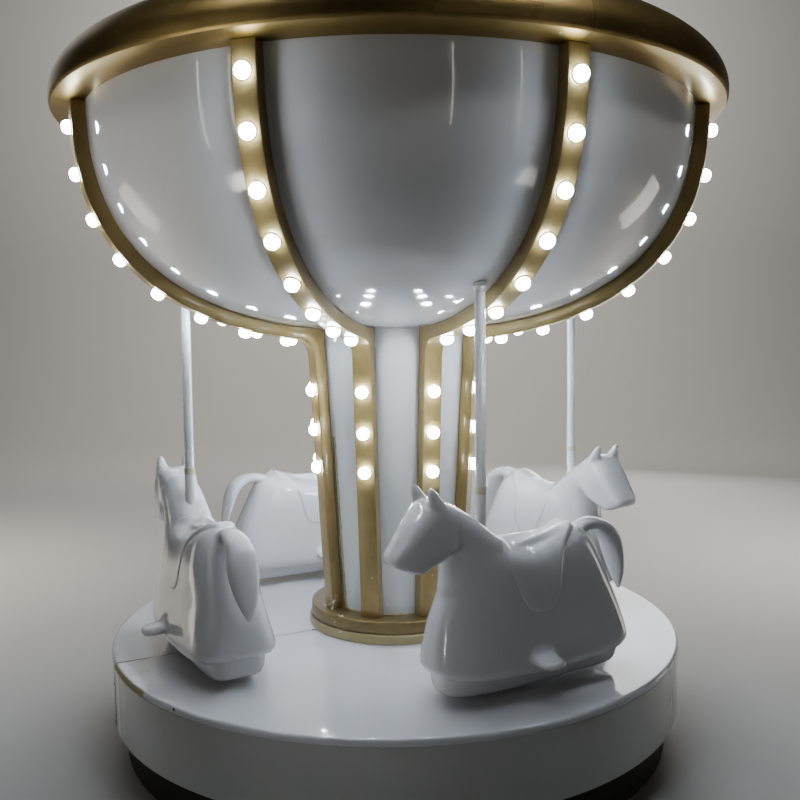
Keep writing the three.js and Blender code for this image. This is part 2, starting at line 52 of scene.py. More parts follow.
# %% Camera
EYE = Vector((0.0, -3.6525, 1.6008))
PITCH, YAW, ROLL = 0.0732, 0.0083, -0.0110  # radians
IMAGE_PIXELS, FOCAL_PIXELS, SENSOR_MM = 800.0, 874.455, 36.0
forward = Vector((math.sin(YAW) * math.cos(PITCH), math.cos(YAW) * math.cos(PITCH), -math.sin(PITCH)))
level_right = Vector((math.cos(YAW), -math.sin(YAW), 0.0))
level_up = level_right.cross(forward)
image_right = math.cos(ROLL) * level_right + math.sin(ROLL) * level_up
image_up = -math.sin(ROLL) * level_right + math.cos(ROLL) * level_up
bpy.ops.object.camera_add()
camera = bpy.context.object
camera.data.sensor_width = SENSOR_MM
camera.data.lens = FOCAL_PIXELS * SENSOR_MM / IMAGE_PIXELS
turn = Matrix((image_right, image_up, -forward)).transposed().to_4x4()
camera.matrix_world = Matrix.Translation(EYE) @ turn
bpy.context.scene.camera = camera
print("camera lens", round(camera.data.lens, 2), "mm")

# %% [markdown]
# Every piece is begun as a primitive and shaped from there. An operator acts on whatever is
# selected, so the first helper picks the pieces it is meant for. `outline` makes what most pieces
# start from: a filled circle with as many corners as the outline needs, each put in place. `arc`
# gives the corners of a rounded edge.


# %% Helpers: outlines
def pick(*pieces):
    """Selects these pieces alone and makes the first one active."""
    bpy.ops.object.select_all(action="DESELECT")
    for piece in pieces:
        piece.select_set(True)
    if pieces:
        bpy.context.view_layer.objects.active = pieces[0]


def named(name):
    """Names the piece that was just made, and its mesh."""
    piece = bpy.context.object
    piece.name = piece.data.name = name
    return piece


def outline(name, corners, filled=True):
    """A face, or a closed loop of edges, through these points."""
    pick()
    bpy.ops.mesh.primitive_circle_add(vertices=len(corners), fill_type="NGON" if filled else "NOTHING")
    piece = named(name)
    for vertex, corner in zip(piece.data.vertices, corners):
        vertex.co = corner
    return piece


def arc(r, z, wide, first, last, steps, tall=None):
    """Points on part of a circle, or of an ellipse as tall as given, between two angles."""
    angles = [first + (last - first) * i / steps for i in range(steps + 1)]
    return [(r + wide * math.cos(a), z + (tall or wide) * math.sin(a)) for a in angles]


def at_bearing(bearing, radius, height):
    """A point by its bearing from the front, towards the right, its radius and its height."""
    return Vector((radius * math.sin(bearing), -radius * math.cos(bearing), height))


def facing(bearing):
    """Turns what is modelled facing +X so that it faces outwards at a bearing."""
    return Matrix.Rotation(bearing - math.pi / 2, 4, "Z")


# %% [markdown]
# The drum, deck, column, canopy and rim are all turned shapes, as if made on a wheel. The spin
# operator sweeps a section round the upright axis. A section swept part of the way keeps its two
# end faces, and one swept all the way round is merged with its own start.


# %% Helpers: turned shapes
def tidy_mesh(piece, merge=0.00005):
    """Merges doubled corners and turns all faces outwards."""
    pick(piece)
    bpy.ops.object.mode_set(mode="EDIT")
    bpy.ops.mesh.select_all(action="SELECT")
    bpy.ops.mesh.remove_doubles(threshold=merge)
    bpy.ops.mesh.normals_make_consistent(inside=False)
    bpy.ops.object.mode_set(mode="OBJECT")
    return piece


def turned(name, section, start, sweep, steps):
    """A closed section of (radius, height) points swept round the axis from a start bearing."""
    whole = sweep > TAU - 1e-6
    piece = outline(name, [at_bearing(start, r, z) for r, z in section], filled=not whole)
    bpy.ops.object.mode_set(mode="EDIT")
    bpy.ops.mesh.select_all(action="SELECT")
    bpy.ops.mesh.spin(steps=steps, angle=-sweep, center=(0, 0, 0), axis=(0, 0, 1))
    bpy.ops.object.mode_set(mode="OBJECT")
    return tidy_mesh(piece)


def smooth(piece, angle=40):
    """Shades the piece smooth, apart from edges sharper than the angle in degrees."""
    pick(piece)
    bpy.ops.object.shade_smooth_by_angle(angle=math.radians(angle))
    return piece


def modify(piece, kind, **settings):
    """Adds one modifier with its settings and applies it."""
    pick(piece)
    modifier = piece.modifiers.new(kind, kind)
    for setting, value in settings.items():
        setattr(modifier, setting, value)
    bpy.ops.object.modifier_apply(modifier=modifier.name)
    return piece


def eased(piece, width, segments, angle=35):
    """Rounds off the piece's sharp edges."""
    limits = {"limit_method": "ANGLE", "angle_limit": math.radians(angle)}
    return modify(piece, "BEVEL", width=width, segments=segments, **limits)


# %% [markdown]
# What repeats is modelled once and copied. A copy gets its own mesh, and its place goes into that
# mesh, because each finished piece has its object at the origin.


# %% Helpers: copies and hand-over
def copied(piece, name, matrix):
    pick(piece)
    bpy.ops.object.duplicate(linked=False)
    copy = named(name)
    copy.data.transform(matrix)
    return copy


def turned_copies(piece, base_name, count):
    """The piece itself as number 1, and its copies at equal steps round the axis."""
    piece.name = piece.data.name = f"{base_name}_1"
    made = [piece]
    for i in range(1, count):
        made.append(copied(piece, f"{base_name}_{i + 1}", Matrix.Rotation(TAU * i / count, 4, "Z")))
    return made


def joined(name, parts):
    pick(*parts)
    bpy.ops.object.join()
    return named(name)


def hand_over(piece, finish, nodes=(), body="turntable"):
    """Gives the piece its finish and its place in the moving model."""
    piece.data.materials.clear()
    piece.data.materials.append(finish.material)
    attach(piece, body)
    if nodes:
        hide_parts(*nodes)


# %% [markdown]
# Shader maths reads best as plain Python. `Value` wraps a socket and turns + - * into Math nodes,
# and `Finish.node` adds any other node: its settings first, then its sockets. `before` gives what
# already feeds one of the shader's sockets, so a finish can be built on top of another. The plainest
# finishes are only mottled.


# %% Helpers: materials
class Value:
    def __init__(self, finish, socket):
        self.finish, self.socket = finish, socket

    def maths(self, operation, first, second=0.0, clamp=False):
        settings = {"operation": operation, "use_clamp": clamp}
        return self.finish.node("ShaderNodeMath", settings, {0: first, 1: second})

    def __add__(self, other):
        return self.maths("ADD", self, other)

    def __sub__(self, other):
        return self.maths("SUBTRACT", self, other)

    def __rsub__(self, other):
        return self.maths("SUBTRACT", other, self)

    def __mul__(self, other):
        return self.maths("MULTIPLY", self, other)

    __radd__ = __add__

    def absolute(self):
        return self.maths("ABSOLUTE", self)

    def least(self, other):
        return self.maths("MINIMUM", self, other)

    def between(self, low, high):
        """0 below low, 1 above high, and even in between; high may be the smaller one."""
        return self.maths("MULTIPLY", self - low, 1.0 / (high - low), clamp=True)


class Finish:
    def __init__(self, name, roughness=0.4, metallic=0.0, coat=0.0, coat_roughness=0.05):
        self.material = bpy.data.materials.new(name)
        self.material.use_nodes = True
        self.tree = self.material.node_tree
        self.shader = self.tree.nodes["Principled BSDF"]
        self.shader.inputs["Roughness"].default_value = roughness
        self.shader.inputs["Metallic"].default_value = metallic
        self.shader.inputs["Coat Weight"].default_value = coat
        self.shader.inputs["Coat Roughness"].default_value = coat_roughness
        self.place = self.node("ShaderNodeTexCoord", output="Object")

    def node(self, kind, settings=None, sockets=None, output=0):
        made = self.tree.nodes.new(kind)
        for name, value in (settings or {}).items():
            setattr(made, name, value)
        for name, value in (sockets or {}).items():
            self.put(made.inputs[name], value)
        return Value(self, made.outputs[output])

    def put(self, socket, value):
        if isinstance(value, Value):
            self.tree.links.new(value.socket, socket)
        else:
            socket.default_value = value

    def set(self, socket_name, value):
        self.put(self.shader.inputs[socket_name], value)

    def before(self, socket_name):
        return Value(self, self.shader.inputs[socket_name].links[0].from_socket)

    def noise(self, scale, detail=3.0, roughness=0.5, stretch=None, offset=(0, 0, 0)):
        vector = self.place
        if stretch or any(offset):
            sizes = {"Vector": self.place, "Scale": stretch or (1, 1, 1), "Location": offset}
            vector = self.node("ShaderNodeMapping", None, sizes)
        sockets = {"Vector": vector, "Scale": scale, "Detail": detail, "Roughness": roughness}
        return self.node("ShaderNodeTexNoise", None, sockets, output="Fac")

    def axis(self, letter):
        return self.node("ShaderNodeSeparateXYZ", None, {0: self.place}, output=letter)

    def mixed(self, share, first, second):
        settings = {"data_type": "RGBA"}
        sockets = {0: share, 6: rgba(first), 7: rgba(second)}
        return self.node("ShaderNodeMix", settings, sockets, output=2)

    def bump(self, height, distance, under=None):
        sockets = {"Height": height, "Distance": distance}
        if under:
            sockets["Normal"] = under
        return self.node("ShaderNodeBump", None, sockets, output="Normal")


def rgba(colour):
    return colour if isinstance(colour, Value) else (*colour, 1.0)


def mottled(name, grain, first, second, relief=None, **settings):
    """A finish whose colour wanders between two; relief holds a bump's grain and depth."""
    finish = Finish(name, **settings)
    finish.set("Base Color", finish.mixed(finish.noise(grain), first, second))
    if relief:
        finish.set("Normal", finish.bump(finish.noise(relief[0]), relief[1]))
    return finish


# %% [markdown]
# ## The white gelcoat
# Glass-fibre parts are cast in a mould against a glossy gelcoat. Up close it isn't a perfect mirror:
# it has a fine ripple, a few pinholes and specks, and a film of workshop dust that dulls it in
# patches. The base colour is a cool white, and the coat gives the sharp reflections.


# %% White gelcoat
def gelcoat(name, colour, dusty, dust_colour=(0.62, 0.62, 0.60), ripple=0.0008):
    finish = Finish(name, coat=0.9, coat_roughness=0.015)
    clouds = finish.noise(2.3, detail=4.0)
    specks = finish.noise(210.0, detail=2.0).between(0.715, 0.76)
    film = clouds.between(0.42, 0.68) * dusty
    deeper = tuple(c * 0.93 for c in colour)
    base = finish.mixed(finish.noise(1.1, detail=2.0), colour, deeper)
    base = finish.mixed(film, base, dust_colour)
    base = finish.mixed(specks * 0.45, base, (0.22, 0.20, 0.17))
    finish.set("Base Color", base)
    finish.set("Roughness", film * 0.25 + finish.noise(9.0) * 0.06 + 0.06)
    slow = finish.bump(finish.noise(6.5, detail=1.0), ripple)
    finish.set("Normal", finish.bump(finish.noise(95.0, detail=1.0), ripple * 0.06, under=slow))
    return finish


panel_white = gelcoat("panel_white", (0.78, 0.79, 0.81), 0.06, ripple=0.0022)
column_white = gelcoat("column_white", (0.80, 0.82, 0.83), 0.10)
pole_white = gelcoat("pole_white", (0.86, 0.87, 0.88), 0.05)
print("white finishes made")

# %% [markdown]
# ## The deck and its skirt
# The deck is one white disc in two halves, with a rounded lip that stands a little outside the
# skirt. It carries footprints and scuffs, thin dirt along the seam, and on the left a strip of
# yellowish filler where the lip was repaired and never painted.


# %% Deck white, with scuffs, dirt at the seam and the filler patch
DECK_TOP = 0.410
SEAM_BEARING = math.radians(-64)
FILLER_START, FILLER_END = (0.012, 0.022), (0.310, 0.300)  # radians past the seam, none to full


def deck_finish():
    finish = gelcoat("deck_white", (0.80, 0.80, 0.83), 0.22, ripple=0.0010)
    base = finish.before("Base Color")
    x, y, z = finish.axis("X"), finish.axis("Y"), finish.axis("Z")
    across = x * math.cos(SEAM_BEARING) + y * math.sin(SEAM_BEARING)
    along = x * math.sin(SEAM_BEARING) - y * math.cos(SEAM_BEARING)
    dirt = across.absolute().between(0.045, 0.0) * finish.noise(14.0).between(0.35, 0.75)
    scuffs = finish.noise(34.0, detail=6.0, roughness=0.7, stretch=(1, 3, 1)).between(0.66, 0.74)
    steps = finish.noise(3.1, detail=5.0, offset=(4, 1, 0)).between(0.50, 0.80)
    base = finish.mixed((dirt * 0.5 + scuffs * steps * 0.5).least(0.6), base, (0.33, 0.31, 0.28))
    joint = across.absolute().between(0.005, 0.002) * (along.absolute().between(0.98, 1.08) * 0.3 + 0.6)
    base = finish.mixed(joint, base, (0.03, 0.028, 0.025))
    ragged = finish.noise(30.0, detail=4.0) * 0.05
    angle = ragged + finish.node("ShaderNodeMath", {"operation": "ARCTAN2"}, {0: across, 1: along})
    filler = angle.between(*FILLER_START) * angle.between(*FILLER_END) * along.between(0.5, 0.6)
    filler = filler * (z + ragged * 0.12).between(0.4125, 0.4105)
    filler_colour = finish.mixed(finish.noise(60.0), (0.30, 0.28, 0.11), (0.46, 0.43, 0.22))
    finish.set("Base Color", finish.mixed(filler, base, filler_colour))
    finish.set("Roughness", (finish.before("Roughness") + filler * 0.5 + dirt * 0.3).least(0.85))
    finish.set("Coat Weight", 0.5 - filler * 0.5)
    return finish


deck_white = deck_finish()
print("finish", deck_white.material.name)

# %% [markdown]
# The deck's section is an outline with a quarter-round lip. Each half is spun through half a turn.
# Then its two end faces are moved back by half the seam's width, so that the seam shows as an
# even, fine dark line, as on the real one.

# %% Deck halves
DECK_RADIUS, DECK_HOLE, DECK_UNDERSIDE = 1.151, 0.10, 0.385
LIP, SEAM_WIDTH = 0.014, 0.003
rounded_lip = arc(DECK_RADIUS - LIP, DECK_TOP - LIP, LIP, 0, math.pi / 2, 6)
deck_section = [(DECK_HOLE, DECK_UNDERSIDE), (DECK_RADIUS - 0.004, DECK_UNDERSIDE),
                (DECK_RADIUS, DECK_UNDERSIDE + 0.005), *rounded_lip, (1.05, DECK_TOP), (DECK_HOLE, DECK_TOP)]
across_seam = Vector((math.cos(SEAM_BEARING), math.sin(SEAM_BEARING), 0.0))
for i, node in enumerate(("deck_front_half", "deck_back_half")):
    deck = turned(node.replace("_half", ""), deck_section, SEAM_BEARING + i * math.pi, math.pi, 96)
    inward = across_seam * (1 - 2 * i) * SEAM_WIDTH / 2
    for vertex in deck.data.vertices:
        if abs(vertex.co.dot(across_seam)) < 1e-5:
            vertex.co += inward
    hand_over(smooth(deck, 30), deck_white, [node])
    print(deck.name, [round(c, 3) for c in deck.dimensions])

# %% [markdown]
# The skirt hangs under the lip. It is two long sheets, each bent round half of the deck, and they
# meet edge to edge. Its white is painted a darker grey than the deck's, as the shade that lies on it.

# %% Skirt
SKIRT_RADIUS, SKIRT_BOTTOM, SKIRT_TOP, SHEET = 1.148, 0.150, 0.3847, 0.012
LAP_BEARING = math.radians(-66)
SHEET_GAP = 0.0012  # radians
# Painted shade: the skirt's gelcoat and dust colours are darker grey than the deck's white.
skirt_shaded_white = gelcoat("skirt_shaded_white", (0.56, 0.56, 0.54), 0.30, (0.42, 0.41, 0.38), ripple=0.0016)
skirt_section = [(SKIRT_RADIUS - SHEET, SKIRT_BOTTOM), (SKIRT_RADIUS - 0.0005, SKIRT_BOTTOM),
                 (SKIRT_RADIUS, SKIRT_BOTTOM + 0.0005), (SKIRT_RADIUS, SKIRT_TOP),
                 (SKIRT_RADIUS - SHEET, SKIRT_TOP)]
for i in range(2):
    start = LAP_BEARING + i * math.pi + SHEET_GAP / 2
    sheet = turned(f"skirt_sheet_{i + 1}", skirt_section, start, math.pi - SHEET_GAP, 96)
    hand_over(smooth(sheet, 30), skirt_shaded_white, [f"skirt_panel_{i + 1}"])
print("skirt", [round(c, 3) for c in sheet.dimensions])

# %% [markdown]
# A thin strip laps over each seam, held by a bolt at its top and one at its foot. Only the recesses of
# the bolts show, as dark dots that paint the shade inside them, and one more such hole is left in the
# deck's lip. A strip is a narrow stretch of the skirt's own turned shape, and a recess is a short dark
# cylinder of painted shade whose edge is rounded off.


# %% Lap strips and bolt recesses
LAP_BOTTOM, LAP_TOP, LAP_ANGLE = 0.158, 0.383, 0.022  # the angle in radians
LAP_BOLTS = (0.172, 0.318)
DOT = 0.0016
# Painted shade for recesses and gaps; the same dark also serves a bolt head and a speck.
recess_shade_and_dark_bolts = mottled("recess_shade_and_dark_bolts", 90.0, (0.012, 0.011, 0.009), (0.035, 0.030, 0.024), roughness=0.8)


def recess(name, bearing, radius, height, size):
    """A dark dot of painted shade, standing a little proud of an upright round face."""
    pick()
    bpy.ops.mesh.primitive_cylinder_add(vertices=16, radius=size, depth=DOT)
    dot = eased(named(name), 0.0005, 2)
    seat = Matrix.Translation(at_bearing(bearing, radius, height))
    dot.data.transform(seat @ Matrix.Rotation(bearing, 4, "Z") @ Matrix.Rotation(math.pi / 2, 4, "X"))
    hand_over(smooth(dot), recess_shade_and_dark_bolts)


lap_back, lap_face = SKIRT_RADIUS + 0.0002, SKIRT_RADIUS + 0.0016
lap_section = [(lap_back, LAP_BOTTOM), (lap_face, LAP_BOTTOM), (lap_face, LAP_TOP), (lap_back, LAP_TOP)]
for i, bearing in enumerate((LAP_BEARING, LAP_BEARING + math.pi)):
    strip = turned(f"skirt_lap_{i + 1}", lap_section, bearing - LAP_ANGLE / 2, LAP_ANGLE, 4)
    lap = eased(strip, 0.0006, 2)
    hand_over(smooth(lap, 40), skirt_shaded_white)
    for k, height in enumerate(LAP_BOLTS):
        recess(f"lap_bolt_{i + 1}_{k + 1}", bearing, lap_face, height, 0.0055)
recess("lip_hole", math.radians(-38.8), DECK_RADIUS - 0.001, 0.4035, 0.005)
print("lap strip", [round(c, 3) for c in lap.dimensions])

# %% [markdown]
# Under the skirt a black drum stands on the floor and stays still while the rest turns. It is
# painted board: matt, with a few scrapes.

# %% Black drum
DRUM_RADIUS, DRUM_TOP = 1.1, 0.155
drum_black = Finish("drum_black", roughness=0.7)
worn = drum_black.noise(5.0, detail=6.0, roughness=0.65, stretch=(1, 1, 4)).between(0.60, 0.75)
drum_black.set("Base Color", drum_black.mixed(worn * 0.5, (0.018, 0.018, 0.013), (0.075, 0.070, 0.055)))
drum_black.set("Roughness", 0.75 - worn * 0.2)
drum_black.set("Normal", drum_black.bump(drum_black.noise(80.0), 0.0006))
drum_section = [(0.0, 0.0), (DRUM_RADIUS - 0.004, 0.0), (DRUM_RADIUS, 0.003), (DRUM_RADIUS, DRUM_TOP - 0.008),
                (DRUM_RADIUS - 0.003, DRUM_TOP - 0.002), (DRUM_RADIUS - 0.008, DRUM_TOP), (0.0, DRUM_TOP)]
drum = turned("drum", drum_section, 0, TAU, 128)
hand_over(smooth(drum), drum_black, ["plinth"], body="ground")
print("drum faces", len(drum.data.polygons))

# %% [markdown]
# ## Antique gold
# The ribs and the foot are painted with a brown gold, laid on by brush and rag, which is only half
# metallic. Long brush streaks change its brightness, and chips show the cream filler underneath.
# The rim is all metal, and its flat underside is painted a darker, deeper gold as shade.


# %% Antique gold
def gilt_finish(name, dark, light, streak, coat, chips=0.0, metal=0.5, run=None, underside_shade=None):
    """run names the attribute to read places from; underside_shade holds the heights where the painted shade
    is none and full.
    """
    finish = Finish(name, coat=coat, coat_roughness=0.10)
    if run:
        finish.place = finish.node("ShaderNodeAttribute", {"attribute_name": run}, output="Vector")
    streaks = finish.noise(26.0, detail=5.0, roughness=0.6, stretch=streak)
    cloud = finish.noise(3.5, detail=3.0)
    tone = (streaks * 0.30 + cloud * 0.80).between(0.35, 0.78)
    base = finish.mixed(tone, dark, light)
    grime = finish.noise(19.0, detail=6.0, roughness=0.7, offset=(3, 0, 0)).between(0.60, 0.70)
    base = finish.mixed(grime * 0.30, base, (0.06, 0.04, 0.015))
    if underside_shade:
        # Painted shade: below these heights the rim's colour is mixed towards a darker, deeper gold.
        base = finish.mixed(finish.axis("Z").between(*underside_shade) * 0.8, base, (0.29, 0.185, 0.036))
    chipped = finish.noise(24.0, detail=5.0, roughness=0.65, offset=(0, 7, 0))
    chipped = chipped.between(0.71 - chips, 0.73 - chips)
    finish.set("Base Color", finish.mixed(chipped, base, (0.72, 0.66, 0.48)))
    finish.set("Metallic", metal - chipped * metal)
    finish.set("Roughness", 0.30 + streaks * 0.14 + chipped * 0.3)
    fine = finish.bump(streaks, 0.0003)
    finish.set("Normal", finish.bump(finish.noise(7.0, detail=2.0), 0.0010, under=fine))
    return finish


rib_gold = gilt_finish("rib_gold", (0.20, 0.139, 0.046), (0.41, 0.296, 0.112), (0.5, 3, 3),
                       coat=0.35, run="rib_run")
rim_gold = gilt_finish("rim_gold", (0.24, 0.165, 0.055), (0.48, 0.345, 0.135), (1, 1, 5),
                       coat=0.0, metal=1.0, underside_shade=(2.4375, 2.4285))
foot_gold = gilt_finish("foot_gold", (0.125, 0.085, 0.026), (0.24, 0.17, 0.06), (1, 1, 4),
                        coat=0.25, chips=0.02)
foot_cream = gilt_finish("foot_cream", (0.28, 0.22, 0.095), (0.41, 0.34, 0.17), (1, 1, 4),
                         coat=0.3, chips=0.03)
print("gilt finishes made")

# %% [markdown]
# Two mouldings make the column's foot: a pale one that runs along the deck and a gold one on it,
# set back a few millimetres, both with soft edges.

# %% Foot mouldings
FOOT_TOP = 0.498
FOOT_MOULDINGS = [  # name, radius, bottom, top, finish, slot
    ("foot_lower", 0.360, DECK_TOP + 0.0003, 0.4477, foot_cream, "cream_gilt"),
    ("foot_upper", 0.352, 0.4483, FOOT_TOP, foot_gold, "gilt")]
FOOT_HOLE, EASING = 0.20, 0.006
for name, radius, low, high, finish, slot in FOOT_MOULDINGS:
    lower_edge = arc(radius - EASING, low + EASING, EASING, -math.pi / 2, 0, 4)
    upper_edge = arc(radius - EASING, high - EASING, EASING, 0, math.pi / 2, 4)
    section = [(FOOT_HOLE, low), *lower_edge, *upper_edge, (FOOT_HOLE, high)]
    foot = turned(name, section, 0, TAU, 96)
    hand_over(smooth(foot, 50), finish, [f"column_{name}"])
print("foot top at", round(max(v.co.z for v in foot.data.vertices), 3))

# %% [markdown]
# ## The bowl of the canopy
# The canopy's section is a superellipse: flat underneath, upright at the rim, and evenly round in
# between. Ribs, panels and lamps all follow the same curve, each at its own inset, so one function
# gives them all. The column below is a slim cone that is wider at its top.

# %% The bowl's curve
BOWL_RADIUS, BOWL_DEPTH, BOWL_CENTRE, BOWL_POWER = 1.237, 0.901, 2.474, 2.69
RIB_DEPTH, PANEL_INSET, SHELL = 0.048, 0.0485, 0.010
RIM_UNDERSIDE = 2.427
RIM_SEAT = RIM_UNDERSIDE - 0.0003
PANEL_INNER = 0.300
RIB_BEARING = math.radians(-19)
BOWL_TOP = math.asin(((BOWL_CENTRE - RIM_UNDERSIDE) / BOWL_DEPTH) ** (BOWL_POWER / 2))


def bowl_point(parameter, inset):
    r = (BOWL_RADIUS - inset) * math.cos(parameter) ** (2 / BOWL_POWER)
    z = BOWL_CENTRE - (BOWL_DEPTH - inset) * math.sin(parameter) ** (2 / BOWL_POWER)
    return r, z


def parameter_at(radius, inset):
    return math.acos((radius / (BOWL_RADIUS - inset)) ** (BOWL_POWER / 2))


def panel_height(radius):
    return bowl_point(parameter_at(radius, PANEL_INSET), PANEL_INSET)[1]


def bowl_curve(inset, last, steps=48):
    """The curve at an inset, from the rim inwards to a parameter."""
    curve = [bowl_point(BOWL_TOP + (last - BOWL_TOP) * i / steps, inset) for i in range(steps + 1)]
    return [(curve[0][0], RIM_SEAT), *curve[1:]]


COLUMN_FOOT_RADIUS, COLUMN_TOP_RADIUS = 0.254, 0.316
COLUMN_TOP = panel_height(COLUMN_TOP_RADIUS - SHELL) - 0.0006


def column_radius(height):
    share = (height - FOOT_TOP) / (COLUMN_TOP - FOOT_TOP)
    return COLUMN_FOOT_RADIUS + (COLUMN_TOP_RADIUS - COLUMN_FOOT_RADIUS) * share


print("panel meets the column at", [PANEL_INNER, round(panel_height(PANEL_INNER), 4)])

# %% [markdown]
# A panel is an eighth of the bowl, ten millimetres thick, and its two long edges lie under ribs.
# The moulding's gloss makes every ripple show as a bent reflection, so the panels have the
# strongest ripple in their bump.

# %% Canopy panels
PANEL_GAP = 0.001  # radians
outer, inner = (bowl_curve(inset, parameter_at(PANEL_INNER, inset))
                for inset in (PANEL_INSET, PANEL_INSET + SHELL))
panel = turned("panel", outer[::-1] + inner, RIB_BEARING + PANEL_GAP / 2, TAU / 8 - PANEL_GAP, 24)
panels = turned_copies(smooth(panel, 30), "bowl_panel", 8)
for i, panel in enumerate(panels):
    hand_over(panel, panel_white, [f"canopy_panel_{i + 1}"])
print("panel faces", len(panel.data.polygons))

# %% [markdown]
# The column's skin is one tapered tube. Its top tucks under the bowl, where the two mouldings meet
# in a soft line.

# %% Column
COLUMN_LOW = FOOT_TOP + 0.0003
skin_section = [(column_radius(COLUMN_LOW) - SHELL, COLUMN_LOW), (column_radius(COLUMN_LOW), COLUMN_LOW),
                (COLUMN_TOP_RADIUS, panel_height(COLUMN_TOP_RADIUS) - 0.0006),
                (COLUMN_TOP_RADIUS - SHELL, COLUMN_TOP)]
column = turned("column_skin", skin_section, 0, TAU, 128)
hand_over(smooth(column), column_white, ["column_shell"])
print("column", [round(c, 3) for c in column.dimensions])

# %% [markdown]
# ## Ribs
# A rib is a flat bar that starts under the rim, follows the bowl inwards, turns down in an elbow and
# runs along the column to its foot. Its side view is two lines of points, the outer face and the
# back, with a point on each for every step.

# %% Side view of a rib
RIB_WIDTH, CLEAR = 0.078, 0.0003
ELBOW, ELBOW_START = 0.080, 1.55  # its size, and about how high it begins


def face_radius(height):
    return column_radius(height) + RIB_DEPTH


def elbow(points, steps=9):
    """In-between points of a curve that leaves the first and reaches the last of three points."""
    made = []
    for i in range(1, steps + 1):
        t = i / steps
        weights = ((1 - t) ** 2, 2 * t * (1 - t), t * t)
        made.append(tuple(sum(w * p[k] for w, p in zip(weights, points)) for k in (0, 1)))
    return made


def in_line(first, last, steps):
    """Points on the straight line after the first, up to the last."""
    return [tuple(a + (b - a) * i / steps for a, b in zip(first, last)) for i in range(1, steps + 1)]


last = parameter_at(face_radius(ELBOW_START) + ELBOW, 0)
back_inset = PANEL_INSET - CLEAR
rib_face, rib_back = bowl_curve(0, last), bowl_curve(back_inset, last)
r, z = rib_face[-1]
rib_face += elbow(((r, z), (face_radius(z), z), (face_radius(z - ELBOW), z - ELBOW)))
corner_r = COLUMN_TOP_RADIUS + CLEAR
corner = (corner_r, bowl_point(parameter_at(corner_r, back_inset), back_inset)[1])
rib_back += in_line(rib_back[-1], corner, 5)
rib_back += in_line(corner, (column_radius(z - ELBOW) + CLEAR, z - ELBOW), 4)
rib_face += in_line(rib_face[-1], (face_radius(COLUMN_LOW), COLUMN_LOW), 24)
rib_back += in_line(rib_back[-1], (column_radius(COLUMN_LOW) + CLEAR, COLUMN_LOW), 24)
print("rib points", len(rib_face), len(rib_back))

# %% [markdown]
# The bar is a stack of rectangles, one for each pair of points, extruded from one to the next, and a
# bevel rounds its long edges. Brush marks run along a rib, also where it bends. So each corner of
# the mesh keeps its distance along the rib and its place across it as an attribute, and the gold
# reads that instead of the object's coordinates.


# %% Rib bars
def stack(name, rings):
    """Each ring of points extruded from the last, closed at both ends."""
    piece = outline(name, rings[0])
    bpy.ops.object.mode_set(mode="EDIT")
    bpy.ops.mesh.select_all(action="SELECT")
    for below, above in zip(rings, rings[1:]):
        bpy.ops.mesh.extrude_region_move()
        mesh = bmesh.from_edit_mesh(piece.data)
        for vertex in [v for v in mesh.verts if v.select]:
            place = min(range(len(below)), key=lambda i: (vertex.co - below[i]).length_squared)
            vertex.co = above[place]
        bmesh.update_edit_mesh(piece.data)
    bpy.ops.object.mode_set(mode="OBJECT")
    return tidy_mesh(piece, merge=0.00001)


def keep_run(piece, line):
    """Stores (distance along the line, across, out) for each corner of a bar that faces +X."""
    lengths = [0.0]
    for (r0, z0), (r1, z1) in zip(line, line[1:]):
        lengths.append(lengths[-1] + math.hypot(r1 - r0, z1 - z0))
    run = []
    for vertex in piece.data.vertices:
        x, y, z = vertex.co
        nearest = min(range(len(line)), key=lambda i: (line[i][0] - x) ** 2 + (line[i][1] - z) ** 2)
        (r0, z0), (r1, z1) = line[max(nearest - 1, 0)], line[min(nearest + 1, len(line) - 1)]
        step = math.hypot(r1 - r0, z1 - z0)
        ahead = ((x - line[nearest][0]) * (r1 - r0) + (z - line[nearest][1]) * (z1 - z0)) / step
        run += [lengths[nearest] + ahead, y, math.hypot(x - line[nearest][0], z - line[nearest][1])]
    attribute = piece.data.attributes.new("rib_run", "FLOAT_VECTOR", "POINT")
    attribute.data.foreach_set("vector", run)


half, rings = RIB_WIDTH / 2, []
for (rf, zf), (rb, zb) in zip(rib_face, rib_back):
    corners = [(rb, -half, zb), (rf, -half, zf), (rf, half, zf), (rb, half, zb)]
    rings.append([Vector(corner) for corner in corners])
bar = eased(stack("bar", rings), 0.0035, 3, 40)
keep_run(bar, rib_face)
bar.data.transform(facing(RIB_BEARING))
ribs = turned_copies(smooth(bar, 45), "rib", 8)
for i, rib in enumerate(ribs):
    hand_over(rib, rib_gold, [f"canopy_rib_{i + 1}", f"column_rib_{i + 1}"])
print("rib faces", len(ribs[0].data.polygons))

# %% [markdown]
# ## Glue and putty
# The left rib was glued on again after it had come loose. A gap is left along its side, and its
# shadow is painted as a thin dark strip on the column, with a strip of cream glue next to it, and rough
# putty fills its foot. A ragged bead of glue runs round the column's foot. A lump is a small ball with
# every corner pushed in or out by noise.

# %% Glue and putty
putty = mottled("putty", 140.0, (0.26, 0.215, 0.11), (0.55, 0.49, 0.32), (260.0, 0.0008), roughness=0.75)
BROKEN_RIB = facing(RIB_BEARING - TAU / 8)  # its frame: out, sideways, up
GAP_SHADOW, GLUE = (0.0395, 0.0455), (0.0457, 0.0610)  # sideways from the rib's middle, near and far
GLUE_TOP, GLUE_BOTTOM = 1.20, 0.4990
BOLT_CIRCLE, BOLT_ANGLE = 0.337, math.radians(24)


